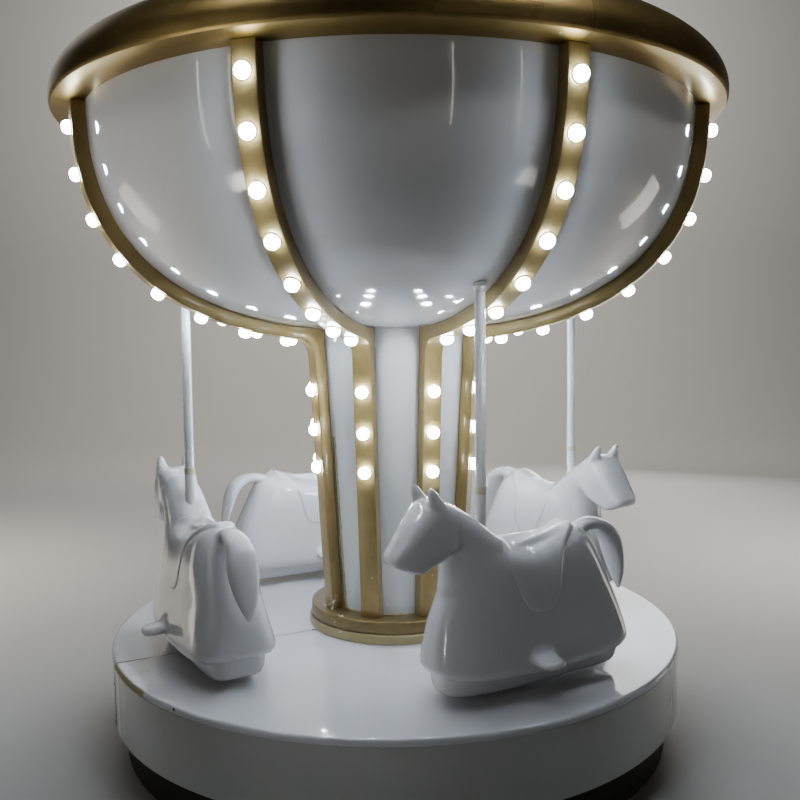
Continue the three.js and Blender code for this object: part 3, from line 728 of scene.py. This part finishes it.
def lump(name, place, size, finish=putty, rough=0.35):
    """A ball of the given half sizes, roughened, at a place in the broken rib's frame."""
    pick()
    bpy.ops.mesh.primitive_ico_sphere_add(subdivisions=4, radius=1.0)
    piece = named(name)
    for vertex in piece.data.vertices:
        swell = 1 + rough * noise.noise(vertex.co * 1.9 + Vector(place) * 90)
        vertex.co = Vector(c * swell * s for c, s in zip(vertex.co, size)) + Vector(place)
    piece.data.transform(BROKEN_RIB)
    hand_over(smooth(piece), finish)


def column_strip(name, near, far, proud, ragged=0.0, steps=60):
    """A thin upright strip on the column, between two distances beside the broken rib's middle."""
    rings = []
    for i in range(steps + 1):
        height = GLUE_BOTTOM + (GLUE_TOP - GLUE_BOTTOM) * i / steps
        edge = far + ragged * noise.noise(Vector((0, 0, height * 40)))
        radius = column_radius(height)
        back, front = radius - 0.001, radius + proud
        corners = [(back, near), (front, near), (front, edge), (back, edge)]
        rings.append([Vector((math.sqrt(r * r - y * y), y, height)) for r, y in corners])
    piece = stack(name, rings)
    piece.data.transform(BROKEN_RIB)
    return smooth(piece, 30)


# Painted shadow: a thin dark strip on the column where the gap beside the rib lies in shade.
hand_over(column_strip("rib_gap_shadow", *GAP_SHADOW, proud=0.0006), recess_shade_and_dark_bolts)
hand_over(column_strip("rib_glue", *GLUE, proud=0.0012, ragged=0.006), putty)
foot = face_radius(FOOT_TOP)
lump("putty_foot", (foot + 0.001, 0.018, 0.500), (0.010, 0.024, 0.013), rough=0.9)
lump("putty_corner", (foot - 0.006, 0.039, 0.512), (0.012, 0.007, 0.020), rough=0.8)
lump("putty_side", (foot - 0.014, 0.041, 0.538), (0.010, 0.004, 0.016), rough=0.8)
lump("putty_crumb", (foot + 0.012, -0.020, 0.4985), (0.005, 0.009, 0.0018), rough=0.5)
lump("rib_chip", (face_radius(0.69) + 0.0002, 0.004, 0.690), (0.0009, 0.0035, 0.013), rough=0.9)
lump("rib_chip_low", (face_radius(0.655) + 0.0002, -0.006, 0.655), (0.0009, 0.0025, 0.005), rough=0.9)
lump("joint_speck", (0.374, 0.0, DECK_TOP + 0.0004), (0.004, 0.006, 0.0012), finish=recess_shade_and_dark_bolts)
bolt_out, bolt_side = BOLT_CIRCLE * math.cos(BOLT_ANGLE), BOLT_CIRCLE * math.sin(BOLT_ANGLE)
lump("bolt_glue", (bolt_out, bolt_side, 0.4988), (0.010, 0.017, 0.0022), rough=0.4)
lump("bolt_head", (bolt_out, bolt_side, 0.5015), (0.0045, 0.0045, 0.0022), finish=recess_shade_and_dark_bolts, rough=0.05)
print("the broken rib's foot at radius", round(foot, 4))

# %% [markdown]
# The bead's section is a flat wedge in the corner between column and foot. Two sizes of noise make
# it swell and thin along its way round.

# %% Bead of glue
bead_low = FOOT_TOP + 0.0004
skin = column_radius(bead_low)
bead_section = [(skin - 0.002, bead_low), (skin + 0.0050, bead_low), (skin + 0.0042, bead_low + 0.0020),
                (skin - 0.002, bead_low + 0.0045)]
bead = turned("foot_bead", bead_section, 0, TAU, 360)
for vertex in bead.data.vertices:
    swell = noise.noise(vertex.co * 55) + 0.5 * noise.noise(vertex.co * 160)
    vertex.co.z = bead_low + (vertex.co.z - bead_low) * (1 + 1.2 * swell)
    vertex.co.xy *= 1 + 0.006 * swell
hand_over(smooth(bead, 60), putty)
print("glue bead", [round(c, 3) for c in bead.dimensions])

# %% [markdown]
# ## Lamps
# Each rib carries a row of round lamps. A lamp is a short turned shape: a milky dome, and under it a
# thin brown collar that shows as a dark arc. The glass glows in its own colour. Its emission is
# strong enough to light the ribs and panels round it, as the real lamps do.

# %% One lamp and its collar
LAMP_GLOW = 78.0
lamp_glass = Finish("lamp_glass", roughness=0.25)
lamp_glass.set("Base Color", (1.0, 0.98, 0.93, 1.0))
lamp_glass.set("Emission Color", (0.76, 0.87, 1.0, 1.0))
lamp_glass.set("Emission Strength", LAMP_GLOW)
lamp_socket = mottled("lamp_socket", 120.0, (0.20, 0.13, 0.05), (0.34, 0.25, 0.11), roughness=0.45,
                      metallic=0.3)
dome = [(0.0, 0.001), (0.0225, 0.001), (0.0238, 0.005), (0.0243, 0.010), (0.0233, 0.0165), (0.0205, 0.0225),
        (0.0160, 0.0268), (0.0098, 0.0295), (0.0040, 0.0305), (0.0, 0.0306)]
lamp = smooth(turned("lamp", dome, 0, TAU, 20), 60)
collar_section = [(0.018, 0.0), (0.0265, 0.0), (0.0262, 0.0025), (0.0248, 0.0035), (0.018, 0.0035)]
collar = smooth(turned("collar", collar_section, 0, TAU, 20), 40)
print("lamp faces", len(lamp.data.polygons), "collar faces", len(collar.data.polygons))

# %% [markdown]
# The lamps sit at even steps along the rib's face. Near the rim the face is almost upright, so the
# places are given as distances along it, walked off from the rim in small steps.

# %% Lamp places along one rib
CANOPY_LAMPS = [0.089, 0.250, 0.412, 0.573, 0.748, 0.925, 1.101, 1.270]  # distances from the rim
COLUMN_LAMPS = [1.388, 1.229, 1.077]  # heights


def parameter_along(distance, step=0.0009):
    parameter, walked = BOWL_TOP, 0.0
    while walked < distance:
        (r1, z1), (r2, z2) = bowl_point(parameter, 0), bowl_point(parameter + step, 0)
        walked += math.hypot(r2 - r1, z2 - z1)
        parameter += step
    return parameter


def lean(parameter, inset):
    """How far the bowl's normal dips below the horizontal at a parameter."""
    (r1, z1), (r2, z2) = bowl_point(parameter - 0.01, inset), bowl_point(parameter + 0.01, inset)
    return math.atan2(r1 - r2, z1 - z2)


def placed(piece, name, places):
    """Copies of a small piece, standing on the first rib's face at each place, as one piece."""
    parts = []
    for i, (r, z, dip) in enumerate(places):
        seat = Matrix.Translation((r, 0, z)) @ Matrix.Rotation(math.pi / 2 + dip, 4, "Y")
        parts.append(copied(piece, f"part_{i}", facing(RIB_BEARING) @ seat))
    return joined(name, parts)


walked = [parameter_along(distance) for distance in CANOPY_LAMPS]
canopy_places = [(*bowl_point(parameter, 0), lean(parameter, 0)) for parameter in walked]
column_places = [(face_radius(height), height, 0.0) for height in COLUMN_LAMPS]
for where, places in (("bowl", canopy_places), ("column", column_places)):
    for kind, small, finish in (("lamps", lamp, lamp_glass), ("sockets", collar, lamp_socket)):
        row = placed(small, f"{where}_{kind}", places)
        for piece in turned_copies(row, f"{where}_{kind}", 8):
            hand_over(piece, finish)
for spare in (lamp, collar):
    bpy.data.objects.remove(spare)
print("lamps placed:", 8 * (len(CANOPY_LAMPS) + len(COLUMN_LAMPS)))

# %% [markdown]
# ## Rim and roof
# The rim is a fat gilt bead on top of the bowl. Its flat underside faces the lamps; outside, above
# a crease, it bulges and rolls over to a shallow white roof that nobody sees from the ground.

# %% Rim
RIM_INNER, RIM_GAP = 1.092, 0.0012  # the gap in radians
ROLL_R, ROLL_Z, ROLL_WIDE, ROLL_TALL = 1.029, 2.472, 0.2730, 0.176  # the roll's ellipse
crease = [(1.168, RIM_UNDERSIDE), (1.244, RIM_UNDERSIDE), (1.266, 2.4305), (1.2860, 2.4355),
          (1.2935, 2.4370), (1.2988, 2.4440), (1.3013, 2.4530)]
roll = arc(ROLL_R, ROLL_Z, ROLL_WIDE, math.radians(2), math.pi / 2, 14, ROLL_TALL)
section = [(max(r, RIM_INNER), z) for r, z in crease + roll + [(ROLL_R, 2.560)]]
for i in range(4):
    start = RIB_BEARING - math.pi / 4 + i * TAU / 4 + RIM_GAP / 2
    piece = turned(f"rim_{i + 1}", section, start, TAU / 4 - RIM_GAP, 64)
    hand_over(smooth(piece, 25), rim_gold, [f"rim_piece_{i + 1}"])
print("rim", [round(c, 3) for c in piece.dimensions])

# %% [markdown]
# The roof is a shell with the same low arch above and below. It lies inside the rim.

# %% Roof
ROOF_RADIUS, ROOF_EDGE, ROOF_THICK, ROOF_RISE = 1.087, 2.610, 0.018, 0.040
shares = [1, 0.9, 0.75, 0.6, 0.45, 0.3, 0.15, 0]
arch = [(ROOF_RADIUS * s, ROOF_EDGE + ROOF_RISE * (1 - s * s)) for s in shares]
roof = turned("roof", arch[::-1] + [(r, z + ROOF_THICK) for r, z in arch], 0, TAU, 96)
hand_over(smooth(roof, 40), column_white, ["canopy_roof"])
print("roof", [round(c, 3) for c in roof.dimensions])

# %% [markdown]
# ## The horse
# All four horses come from one mould. Its parts are drawn in the horse's own frame, in metres:
# u forward from the pole, v sideways, z up from the deck. Trunk, neck, head, tail, ears and foot
# pegs are each a stack of rings. A ring is a superellipse, which can be a soft oval or almost a
# rectangle, so the nose gets its flat bridge and the trunk its full sides. The stacks are then
# fused by a voxel remesh and smoothed, as a modeller would blend clay, which gives the soft
# hollows between neck and back.


# %% Horse: rings and stacks
def ring(centre, along, across, half_along, half_across, front_power, rear_power, corners):
    """A superellipse from its centre, two directions, half sizes, powers and number of corners."""
    points = []
    for i in range(corners):
        angle = TAU * i / corners
        c, s = math.cos(angle), math.sin(angle)
        power = front_power if c > 0 else rear_power
        a = math.copysign(abs(c) ** (2 / power), c) * half_along
        b = math.copysign(abs(s) ** (2 / power), s) * half_across
        points.append(centre + a * along + b * across)
    return points


def eased_rows(rows, steps):
    """Rows of numbers, with in-between rows on a smooth curve through all of them."""
    made = []
    for i in range(len(rows) - 1):
        near = [rows[max(i - 1, 0)], rows[i], rows[i + 1], rows[min(i + 2, len(rows) - 1)]]
        for k in range(steps):
            t = k / steps
            weights = (-0.5 * t + t * t - 0.5 * t**3, 1 - 2.5 * t * t + 1.5 * t**3,
                       0.5 * t + 2 * t * t - 1.5 * t**3, -0.5 * t * t + 0.5 * t**3)
            made.append([sum(w * value for w, value in zip(weights, column)) for column in zip(*near)])
    return made + [list(rows[-1])]


# %% [markdown]
# The trunk is a stack of rings from the hem up. Its top follows the dished line of the back, and its
# hem dips towards the middle. Seen from above it is round at the chest and squarer at the rump, so a
# ring has one power for its front half and one for its rear half.

# %% Horse: trunk
AHEAD, SIDEWAYS, UP = Vector((1, 0, 0)), Vector((0, 1, 0)), Vector((0, 0, 1))
HEM_LOWEST, HEM_REAR, HEM_FRONT = (-.180, .078), (-.560, .104), (.200, .090)  # forward, height
BACK_LINE = eased_rows([(-.62, .440), (-.50, .480), (-.42, .514), (-.35, .530), (-.27, .503), (-.17, .477),
                        (-.09, .485), (0, .514), (.12, .515), (.26, .470)], 8)
TRUNK = [  # share of the height, rear end, front end, half width, power at the front and at the rear
    (0.00, -.545, .190, .147, 2.8, 5.0), (0.05, -.562, .208, .155, 2.9, 5.0),
    (0.12, -.564, .210, .154, 3.0, 5.0), (0.40, -.545, .188, .131, 3.0, 4.0),
    (0.70, -.496, .140, .118, 2.9, 3.2), (0.88, -.458, .136, .100, 2.9, 2.9),
    (0.96, -.430, .106, .073, 2.7, 2.7), (1.00, -.385, .060, .036, 2.5, 2.5)]


def back_height(u):
    for (u0, z0), (u1, z1) in zip(BACK_LINE, BACK_LINE[1:]):
        if u <= u1:
            return z0 + (z1 - z0) * max(0.0, (u - u0) / (u1 - u0))
    return BACK_LINE[-1][1]


def hem_height(u):
    middle, lowest = HEM_LOWEST
    end, height = HEM_REAR if u < middle else HEM_FRONT
    return lowest + (height - lowest) * min((u - middle) / (end - middle), 1.0) ** 2


def level_stack(name, rows, lowest, highest):
    """Rings seen from above; each row's share says how high it lies between two lines."""
    rings = []
    for share, rear, front, half_width, *powers in rows:
        centre = Vector(((rear + front) / 2, 0, 0))
        level = ring(centre, AHEAD, SIDEWAYS, (front - rear) / 2, half_width, *powers, 72)
        for point in level:
            low, high = lowest(point.x), highest(point.x)
            point.z = low + share * (high - low)
        rings.append(level)
    return stack(name, rings)


trunk = level_stack("trunk", eased_rows(TRUNK, 5), hem_height, back_height)
print("trunk", [round(c, 3) for c in trunk.dimensions])

# %% [markdown]
# Neck, head, tail and ears are stacks along a bent spine. A row says where the ring is, how far it
# is tilted, and its half sizes. The tail narrows to a point that just clears the rump.

# %% Horse: neck, head, tail, ears
NECK = [  # forward, height, tilt of the depth direction in degrees, half depth, half width
    (.018, .290, -2, .128, .094), (.022, .335, -4, .131, .097), (.025, .380, -6, .132, .098),
    (.028, .425, -11, .127, .094), (.038, .4775, -14, .116, .088), (.0575, .509, -17, .0966, .084),
    (.081, .5365, -27, .080, .081), (.122, .5625, -53, .072, .078), (.1525, .5785, -65, .0758, .074)]
HEAD = [
    (.115, .585, -103, .062, .066), (.155, .584, -104, .0863, .079), (.190, .571, -109, .0984, .083),
    (.2225, .544, -117, .0874, .079), (.2575, .5095, -131, .0731, .071), (.286, .483, -142, .0648, .064),
    (.3035, .468, -148, .0598, .058), (.312, .4605, -156, .0437, .050), (.311, .456, -157, .036, .042)]
TAIL = [  # the last number is sideways
    (-.352, .456, -134, .026, .034, 0), (-.400, .496, -125, .026, .034, 0),
    (-.447, .512, -107, .025, .036, 0), (-.492, .510, -83, .026, .042, 0),
    (-.538, .486, -51, .028, .050, 0), (-.568, .445, -22, .026, .056, 0),
    (-.587, .385, -9, .020, .053, -.001), (-.604, .318, -7, .013, .038, -.003),
    (-.618, .250, -8, .004, .008, -.005)]
EAR = [(.190, .630, 0, .034, .030), (.203, .662, 0, .027, .026), (.217, .692, 0, .018, .018),
       (.224, .707, 0, .011, .012), (.227, .714, 0, .005, .006)]
EAR_SIDES = (-.052, .052)


def spine(name, stations, power, side=0.0):
    """Rings along a bent line in the side view, at a distance sideways."""
    rings = []
    for u, z, tilt, half_depth, half_width, *sideways in eased_rows(stations, 4):
        depth = Vector((math.cos(math.radians(tilt)), 0, math.sin(math.radians(tilt))))
        centre = Vector((u, side + sum(sideways), z))
        rings.append(ring(centre, depth, SIDEWAYS, half_depth, half_width, power, power, 40))
    return stack(name, rings)


limbs = [spine("neck", NECK, 2.3), spine("head", HEAD, 3.6), spine("tail", TAIL, 2.2)]
print("limbs", [limb.name for limb in limbs])

# %% [markdown]
# The foot pegs are flat blades that stand out low on each side. Near the body they thicken upwards
# into a web, so the feet have something to push on.

# %% Horse: foot pegs
PEG_FORWARD, PEG_POWER = -.142, 2.6
PEG = [  # sideways, height of the middle, half length, half thickness
    (.060, .157, .040, .040), (.115, .157, .042, .038), (.142, .146, .046, .030), (.158, .134, .050, .021),
    (.173, .128, .052, .017), (.196, .126, .051, .0155), (.216, .125, .045, .0145), (.229, .1245, .032, .013),
    (.2365, .124, .014, .008)]


def peg(side):
    rings = []
    for v, z, half_length, half_thickness in eased_rows(PEG, 3):
        centre = Vector((PEG_FORWARD, v * side, z))
        rings.append(ring(centre, AHEAD, UP, half_length, half_thickness, PEG_POWER, PEG_POWER, 32))
    return stack("peg", rings)


pegs = [peg(side) for side in (-1, 1)]
print("peg", [round(c, 3) for c in pegs[0].dimensions])

# %% [markdown]
# The parts are joined into one object and remeshed at five millimetres, which fuses them. Smoothing
# is strongest where neck, seat and tail meet the back, so that they flow into it.


# %% Horse: fuse and smooth
def falls_off(distance, near, far):
    t = min(max((far - distance) / (far - near), 0.0), 1.0)
    return t * t * (3 - 2 * t)


def soften(piece, spots, factor, rounds):
    """Smooths the mesh around spots of (centre, near, far), fully up to near and not at all past far."""
    group = piece.vertex_groups.new(name="soften")
    for vertex in piece.data.vertices:
        weight = max(falls_off((vertex.co - centre).length, near, far) for centre, near, far in spots)
        if weight > 0:
            group.add([vertex.index], weight, "REPLACE")
    modify(piece, "SMOOTH", factor=factor, iterations=rounds, vertex_group="soften")
    piece.vertex_groups.clear()


VOXEL = 0.0052
BLENDS = [  # centre, fully smoothed up to, not at all past
    (Vector((-.01, 0, .50)), .10, .19), (Vector((.14, 0, .38)), .09, .16),
    (Vector((-.40, 0, .50)), .02, .06), (Vector((-.22, 0, .51)), .11, .17)]
ears = [spine("ear", EAR, 2.0, side) for side in EAR_SIDES]
horse = joined("horse", [trunk, *limbs, *pegs, *ears])
modify(horse, "REMESH", mode="VOXEL", voxel_size=VOXEL, use_smooth_shade=True)
soften(horse, BLENDS, 0.5, 34)
soften(horse, [(Vector((.205, side, .655)), .012, .034) for side in EAR_SIDES], 0.5, 10)
modify(horse, "SMOOTH", factor=0.5, iterations=7)
print("horse faces", len(horse.data.polygons), [round(c, 3) for c in horse.dimensions])

# %% [markdown]
# The saddle is moulded in: a pad that stands a little proud of the back, most at its rear edge,
# with a flap down each side. Its edge is drawn once, as an outline in the side view. Each corner of
# the mesh is lifted by how far inside the outline it lies, and that signed distance is kept as an
# attribute, so the material can draw the fine dark line along the edge exactly.

# %% Horse: saddle
SADDLE = [(-.42, .70), (-.395, .545), (-.365, .527), (-.325, .506), (-.283, .472), (-.258, .425),
          (-.243, .36), (-.230, .315), (-.208, .287), (-.170, .278), (-.130, .284), (-.098, .308),
          (-.078, .345), (-.058, .40), (-.040, .450), (-.038, .485), (-.055, .512), (-.075, .540),
          (-.080, .70)]
LIFT, CANTLE_LIFT = 0.0038, 0.012  # all over, and more at the raised rear edge
CANTLE, REACH = -.37, 0.05


def outline_distance(u, z, corners):
    """Distance to a closed outline, positive inside."""
    best, inside = 1.0, False
    for (u0, z0), (u1, z1) in zip(corners, corners[1:] + corners[:1]):
        du, dz = u1 - u0, z1 - z0
        t = max(0.0, min(1.0, ((u - u0) * du + (z - z0) * dz) / (du ** 2 + dz ** 2)))
        best = min(best, math.hypot(u - u0 - t * du, z - z0 - t * dz))
        if (z0 > z) != (z1 > z) and u < u0 + du * (z - z0) / dz:
            inside = not inside
    return best if inside else -best


edge = eased_rows(SADDLE, 4)
depths = []
for vertex in horse.data.vertices:
    u, v, z = vertex.co
    near = -.45 < u < .03 and z > .24 and abs(v) < .16
    depths.append(max(-REACH, min(REACH, outline_distance(u, z, edge))) if near else -REACH)
horse.data.attributes.new("saddle_edge", "FLOAT", "POINT").data.foreach_set("value", depths)
normals = [v.normal.copy() for v in horse.data.vertices]
for vertex, depth, normal in zip(horse.data.vertices, depths, normals):
    at_cantle = falls_off(abs(vertex.co.x - CANTLE), 0.0, .16)
    vertex.co += normal * (LIFT + CANTLE_LIFT * at_cantle) * (1 - falls_off(depth, -.0045, .006))
modify(horse, "SMOOTH", factor=0.4, iterations=1)
print("saddle lifted:", sum(depth > 0 for depth in depths), "corners")

# %% [markdown]
# The horses' gelcoat is the deck's, with the saddle's edge line added from the attribute: a fine
# groove, coloured a little grey along the line.


# %% Horse white
def horse_finish():
    finish = gelcoat("horse_white", (0.80, 0.80, 0.82), 0.05, ripple=0.0012)
    distance = finish.node("ShaderNodeAttribute", {"attribute_name": "saddle_edge"}, output="Fac")
    groove = 1.0 - (distance + 0.0035).absolute().between(0.0004, 0.0026)
    finish.set("Base Color", finish.mixed(groove * 0.10, finish.before("Base Color"), (0.30, 0.30, 0.32)))
    finish.set("Normal", finish.bump(1.0 - groove, 0.0008, under=finish.before("Normal")))
    return finish


horse_white = horse_finish()
print("finish", horse_white.material.name)

# %% [markdown]
# Below the hem a narrower tray closes the casting. It hovers a few centimetres above the deck, and
# its underside rises towards the tail.

# %% Horse tray
TRAY = [  # as the trunk's rows
    (0.0, -.520, .155, .090, 3.2, 6), (.10, -.528, .165, .100, 3.2, 6), (.28, -.533, .172, .107, 3.2, 6),
    (.55, -.537, .177, .112, 3.2, 6), (1.0, -.538, .180, .114, 3.2, 6)]
TRAY_LOW, TRAY_RISE, TRAY_TUCK = .020, .010, .003


def tray_bottom(u):
    rear, front = TRAY[0][1:3]
    return TRAY_LOW + TRAY_RISE * (front - u) / (front - rear)


tray = level_stack("tray", TRAY, tray_bottom, lambda u: hem_height(u) + TRAY_TUCK)
print("tray", [round(c, 3) for c in tray.dimensions])

# %% [markdown]
# ## Poles
# A pole hangs each horse from the bowl. Its upper part is a rope-twisted tube under a small flange;
# a band of yellowed tape joins it to the plain sleeve that stands in the horse's withers and goes
# on down to the deck.

# %% Pole parts
POLE_CIRCLE, SLEEVE_TOP = 0.840, 1.092
FLUTES, PITCH_OF_TWIST, FLUTE_DEPTH = 10, 0.30, 0.0016
TWIST_RADIUS, SLEEVE_RADIUS, PLATE_RADIUS, PLATE_TOP = 0.0178, 0.0190, 0.030, DECK_TOP + 0.009
TAPE_BOTTOM, TAPE_TOP = 1.076, 1.101
TAPE_RADII = [0.0194, 0.0204, 0.0201, 0.0205, 0.0202, 0.0203, 0.0192]


def pole_rings(low, high, radii, depth=0.0, corners=54):
    """A ring for each radius, at even heights, fluted by the depth."""
    rings = []
    for i, radius in enumerate(radii):
        z = low + (high - low) * i / (len(radii) - 1)
        level = []
        for k in range(corners):
            angle = TAU * k / corners
            out = radius - depth + depth * abs(math.sin(FLUTES * (angle - TAU * z / PITCH_OF_TWIST) / 2))
            level.append(Vector((out * math.cos(angle), out * math.sin(angle), z)))
        rings.append(level)
    return rings


flange_height = panel_height(POLE_CIRCLE)
twist_rings = pole_rings(SLEEVE_TOP - 0.006, flange_height - 0.012, [TWIST_RADIUS] * 121, FLUTE_DEPTH)
twist = stack("twist", twist_rings)
sleeve = stack("sleeve", pole_rings(DECK_TOP + 0.001, SLEEVE_TOP, [SLEEVE_RADIUS] * 3))
foot_plate = stack("foot_plate", pole_rings(DECK_TOP + 0.0003, PLATE_TOP, [PLATE_RADIUS] * 3))
eased(foot_plate, 0.002, 2)
eased(sleeve, 0.0012, 2)
tape = stack("tape", pole_rings(TAPE_BOTTOM, TAPE_TOP, TAPE_RADII))
print("flange at", round(flange_height, 4))

# %% [markdown]
# The flange is a thin round plate that follows the bowl's slope, with a short collar round the
# pole. It is tilted by the bowl's lean at the pole's place.

# %% Pole flange
plate_section = [(0.0, 0.0), (0.0262, 0.0), (0.027, -0.001), (0.027, -0.0035), (0.0258, -0.0045),
                 (0.0, -0.0045)]
plate = turned("flange", plate_section, 0, TAU, 40)
dip = lean(parameter_at(POLE_CIRCLE, PANEL_INSET), PANEL_INSET)
tilted = Matrix.Rotation(dip - math.pi / 2, 4, "Y")
plate.data.transform(Matrix.Translation((0, 0, flange_height - 0.0009)) @ tilted)
collar_low, collar_high = flange_height - 0.022, flange_height - 0.006
collar_section = [(0.0, collar_low), (0.0205, collar_low), (0.0215, collar_low + 0.002),
                  (0.0215, collar_high), (0.0, collar_high)]
flange = joined("flange", [plate, turned("collar", collar_section, 0, TAU, 40)])
print("flange", [round(c, 3) for c in flange.dimensions])

# %% [markdown]
# The tape has gone yellow in bands, one for each turn that it was wound.

# %% Old tape
old_tape = Finish("old_tape", roughness=0.55)
wraps = old_tape.noise(40.0, detail=4.0, stretch=(1, 1, 5))
old_tape.set("Base Color", old_tape.mixed(wraps, (0.46, 0.40, 0.20), (0.80, 0.76, 0.60)))
old_tape.set("Normal", old_tape.bump(wraps, 0.0015))
print("finish", old_tape.material.name)

# %% [markdown]
# Horse, tray and pole are copied to the four poles' places. A horse heads a little inward of the
# circle's tangent, as on the real one. The flange leans towards the axis, not along the horse, so
# it is turned by the pole's bearing alone.

# %% Four horses
HORSE_PLACES = [(20.0, 9.0), (107.7, 13.8), (200.0, 9.5), (289.7, 9.9)]  # pole's bearing, turn inwards
for piece in (twist, sleeve, foot_plate, tape, flange):
    smooth(piece, 50)
smooth(tray, 50)
smooth(horse, 80)
originals = {"horse": horse, "tray": tray, "pole": twist, "pole_sleeve": sleeve, "pole_foot": foot_plate,
             "pole_tape": tape, "pole_flange": flange}
finishes = {"horse": horse_white, "tray": horse_white, "pole_tape": old_tape}
nodes = {"horse": "horse_{}_body", "tray": "horse_{}_tray", "pole": "horse_{}_pole"}
for i, angles in enumerate(HORSE_PLACES):
    bearing, inwards = (math.radians(angle) for angle in angles)
    spot = Matrix.Translation(at_bearing(bearing, POLE_CIRCLE, 0))
    heading = spot @ Matrix.Rotation(math.pi + bearing + inwards, 4, "Z")
    raised = Matrix.Translation((0, 0, DECK_TOP)) @ heading
    outward = spot @ facing(bearing)
    for kind, original in originals.items():
        matrix = raised if kind in ("horse", "tray") else outward if kind == "pole_flange" else heading
        piece = copied(original, f"{kind}_{i + 1}", matrix)
        replaced = [nodes[kind].format(i + 1)] if kind in nodes else []
        hand_over(piece, finishes.get(kind, pole_white), replaced)
for original in originals.values():
    bpy.data.objects.remove(original)
print("horses placed:", len(HORSE_PLACES))

# %% [markdown]
# ## Studio
# A plain pale floor that curves up at the back. It is a grid one face wide, whose rows follow a
# profile: the floor, a quarter circle and the wall.

# %% Floor
FLOOR_FRONT, FLOOR_BACK, CURVE, WALL_TOP, HALF_WIDTH = -40, 9.0, 3.0, 9.0, 30
bend = arc(FLOOR_BACK, CURVE, CURVE, -math.pi / 2, 0, 12)
profile = [(FLOOR_FRONT, 0.0), *bend, (FLOOR_BACK + CURVE, WALL_TOP)]
pick()
bpy.ops.mesh.primitive_grid_add(x_subdivisions=1, y_subdivisions=len(profile) - 1)
floor = named("floor")
for i, vertex in enumerate(floor.data.vertices):
    y, z = profile[i // 2]
    vertex.co = (-HALF_WIDTH if i % 2 == 0 else HALF_WIDTH, y, z)
smooth(floor, 60)
floor_finish = Finish("floor_pale", roughness=0.6)
floor_finish.set("Base Color", (0.56, 0.55, 0.53, 1))
floor.data.materials.append(floor_finish.material)
print("floor rows", len(profile))

# %% [markdown]
# The carousel is lit from behind and by its own lamps, so its front stays in soft shade. The wall
# and the floor have lights of their own. Gloss needs something to mirror: thin upright strips in
# front draw streaks on the bowl and the horses without adding much light. A light's spread narrows
# its beam, so that one can reach the canopy and miss the horses.

# %% Lights
WHITE, COOL = (1.0, 1.0, 1.0), (0.90, 0.95, 1.0)
WARM, STRIP_WARM = (1.0, 0.95, 0.88), (1.0, 0.97, 0.91)
LIGHTS = [  # name, place, target, width and height, watts, spread in degrees, colour
    ("wash", (0, 6.0, 7.5), (0, 12.0, 3.6), (9, 2), 700, 180, (1.0, 0.96, 0.90)),
    ("floor_-1", (-5.6, 2.0, 5.5), (-5.8, 2.0, 0), (2.4, 7), 90, 50, (1.0, 0.92, 0.80)),
    ("floor_1", (5.6, 2.0, 5.5), (5.8, 2.0, 0), (2.4, 7), 90, 50, (1.0, 0.92, 0.80)),
    ("roof", (0, 0.2, 4.4), (0, 0, 2.6), (2.6, 2.6), 26, 180, (1.0, 0.97, 0.92)),
    ("rim_left", (-2.5, -2.2, 5.0), (-0.95, -0.85, 2.6), (1.6, 0.4), 0.5, 18, WHITE),
    ("rim_right", (2.3, -2.2, 5.0), (0.85, -0.9, 2.6), (1.6, 0.4), 0.9, 18, WHITE),
    ("back_left", (-4.0, 4.5, 4.6), (0, 0, 0.6), (3.5, 3.5), 36, 180, COOL),
    ("back_right", (2.8, 6.0, 2.4), (0, 0, 0.8), (3.0, 3.0), 80, 180, (0.97, 0.98, 1.0)),
    ("canopy_left", (-3.0, -2.4, 0.1), (-0.85, -0.65, 1.95), (1.0, 1.0), 2.6, 30, WARM),
    ("canopy_right", (3.0, -2.4, 0.1), (0.9, -0.7, 2.1), (1.0, 1.0), 0.5, 35, (1.0, 0.93, 0.84)),
    ("low_left", (-4.6, 1.2, 0.8), (-0.9, -0.4, 1.9), (0.8, 1.6), 6, 180, WARM),
    ("low_right", (4.6, 1.2, 0.8), (0.9, -0.4, 1.9), (0.8, 1.6), 8, 180, WARM),
    ("column", (2.6, -3.8, 1.75), (0.3, -0.5, 1.45), (0.5, 0.5), 0.5, 10, WHITE),
    ("chest", (-3.2, -3.4, 0.9), (0.1, -1.0, 0.65), (0.05, 0.9), 0.12, 14, WHITE)]
STRIPS = [  # x, y, watts
    (-3.9, -2.5, 2.4), (-3.5, -3.3, 2.4), (-3.0, -4.0, 2.4), (1.6, -4.9, 1.4), (3.2, -4.0, 1.4)]
LIGHTS += [(f"strip_{i + 1}", (x, y, 2.4), (0, 0, 1.3), (0.035, 2.2), watts, 180, STRIP_WARM)
           for i, (x, y, watts) in enumerate(STRIPS)]
for name, place, target, size, watts, spread, colour in LIGHTS:
    bpy.ops.object.light_add(type="AREA", location=place)
    lamp = bpy.context.object
    lamp.name = name
    lamp.data.shape = "RECTANGLE"
    lamp.data.size, lamp.data.size_y = size
    lamp.data.energy, lamp.data.color, lamp.data.spread = watts, colour, math.radians(spread)
    lamp.rotation_euler = (Vector(target) - Vector(place)).to_track_quat("-Z", "Y").to_euler()
world = bpy.context.scene.world or bpy.data.worlds.new("world")
bpy.context.scene.world = world
world.use_nodes = True
world.node_tree.nodes["Background"].inputs["Color"].default_value = (0.85, 0.82, 0.74, 1)
world.node_tree.nodes["Background"].inputs["Strength"].default_value = 0.010
print("lights", len(LIGHTS))
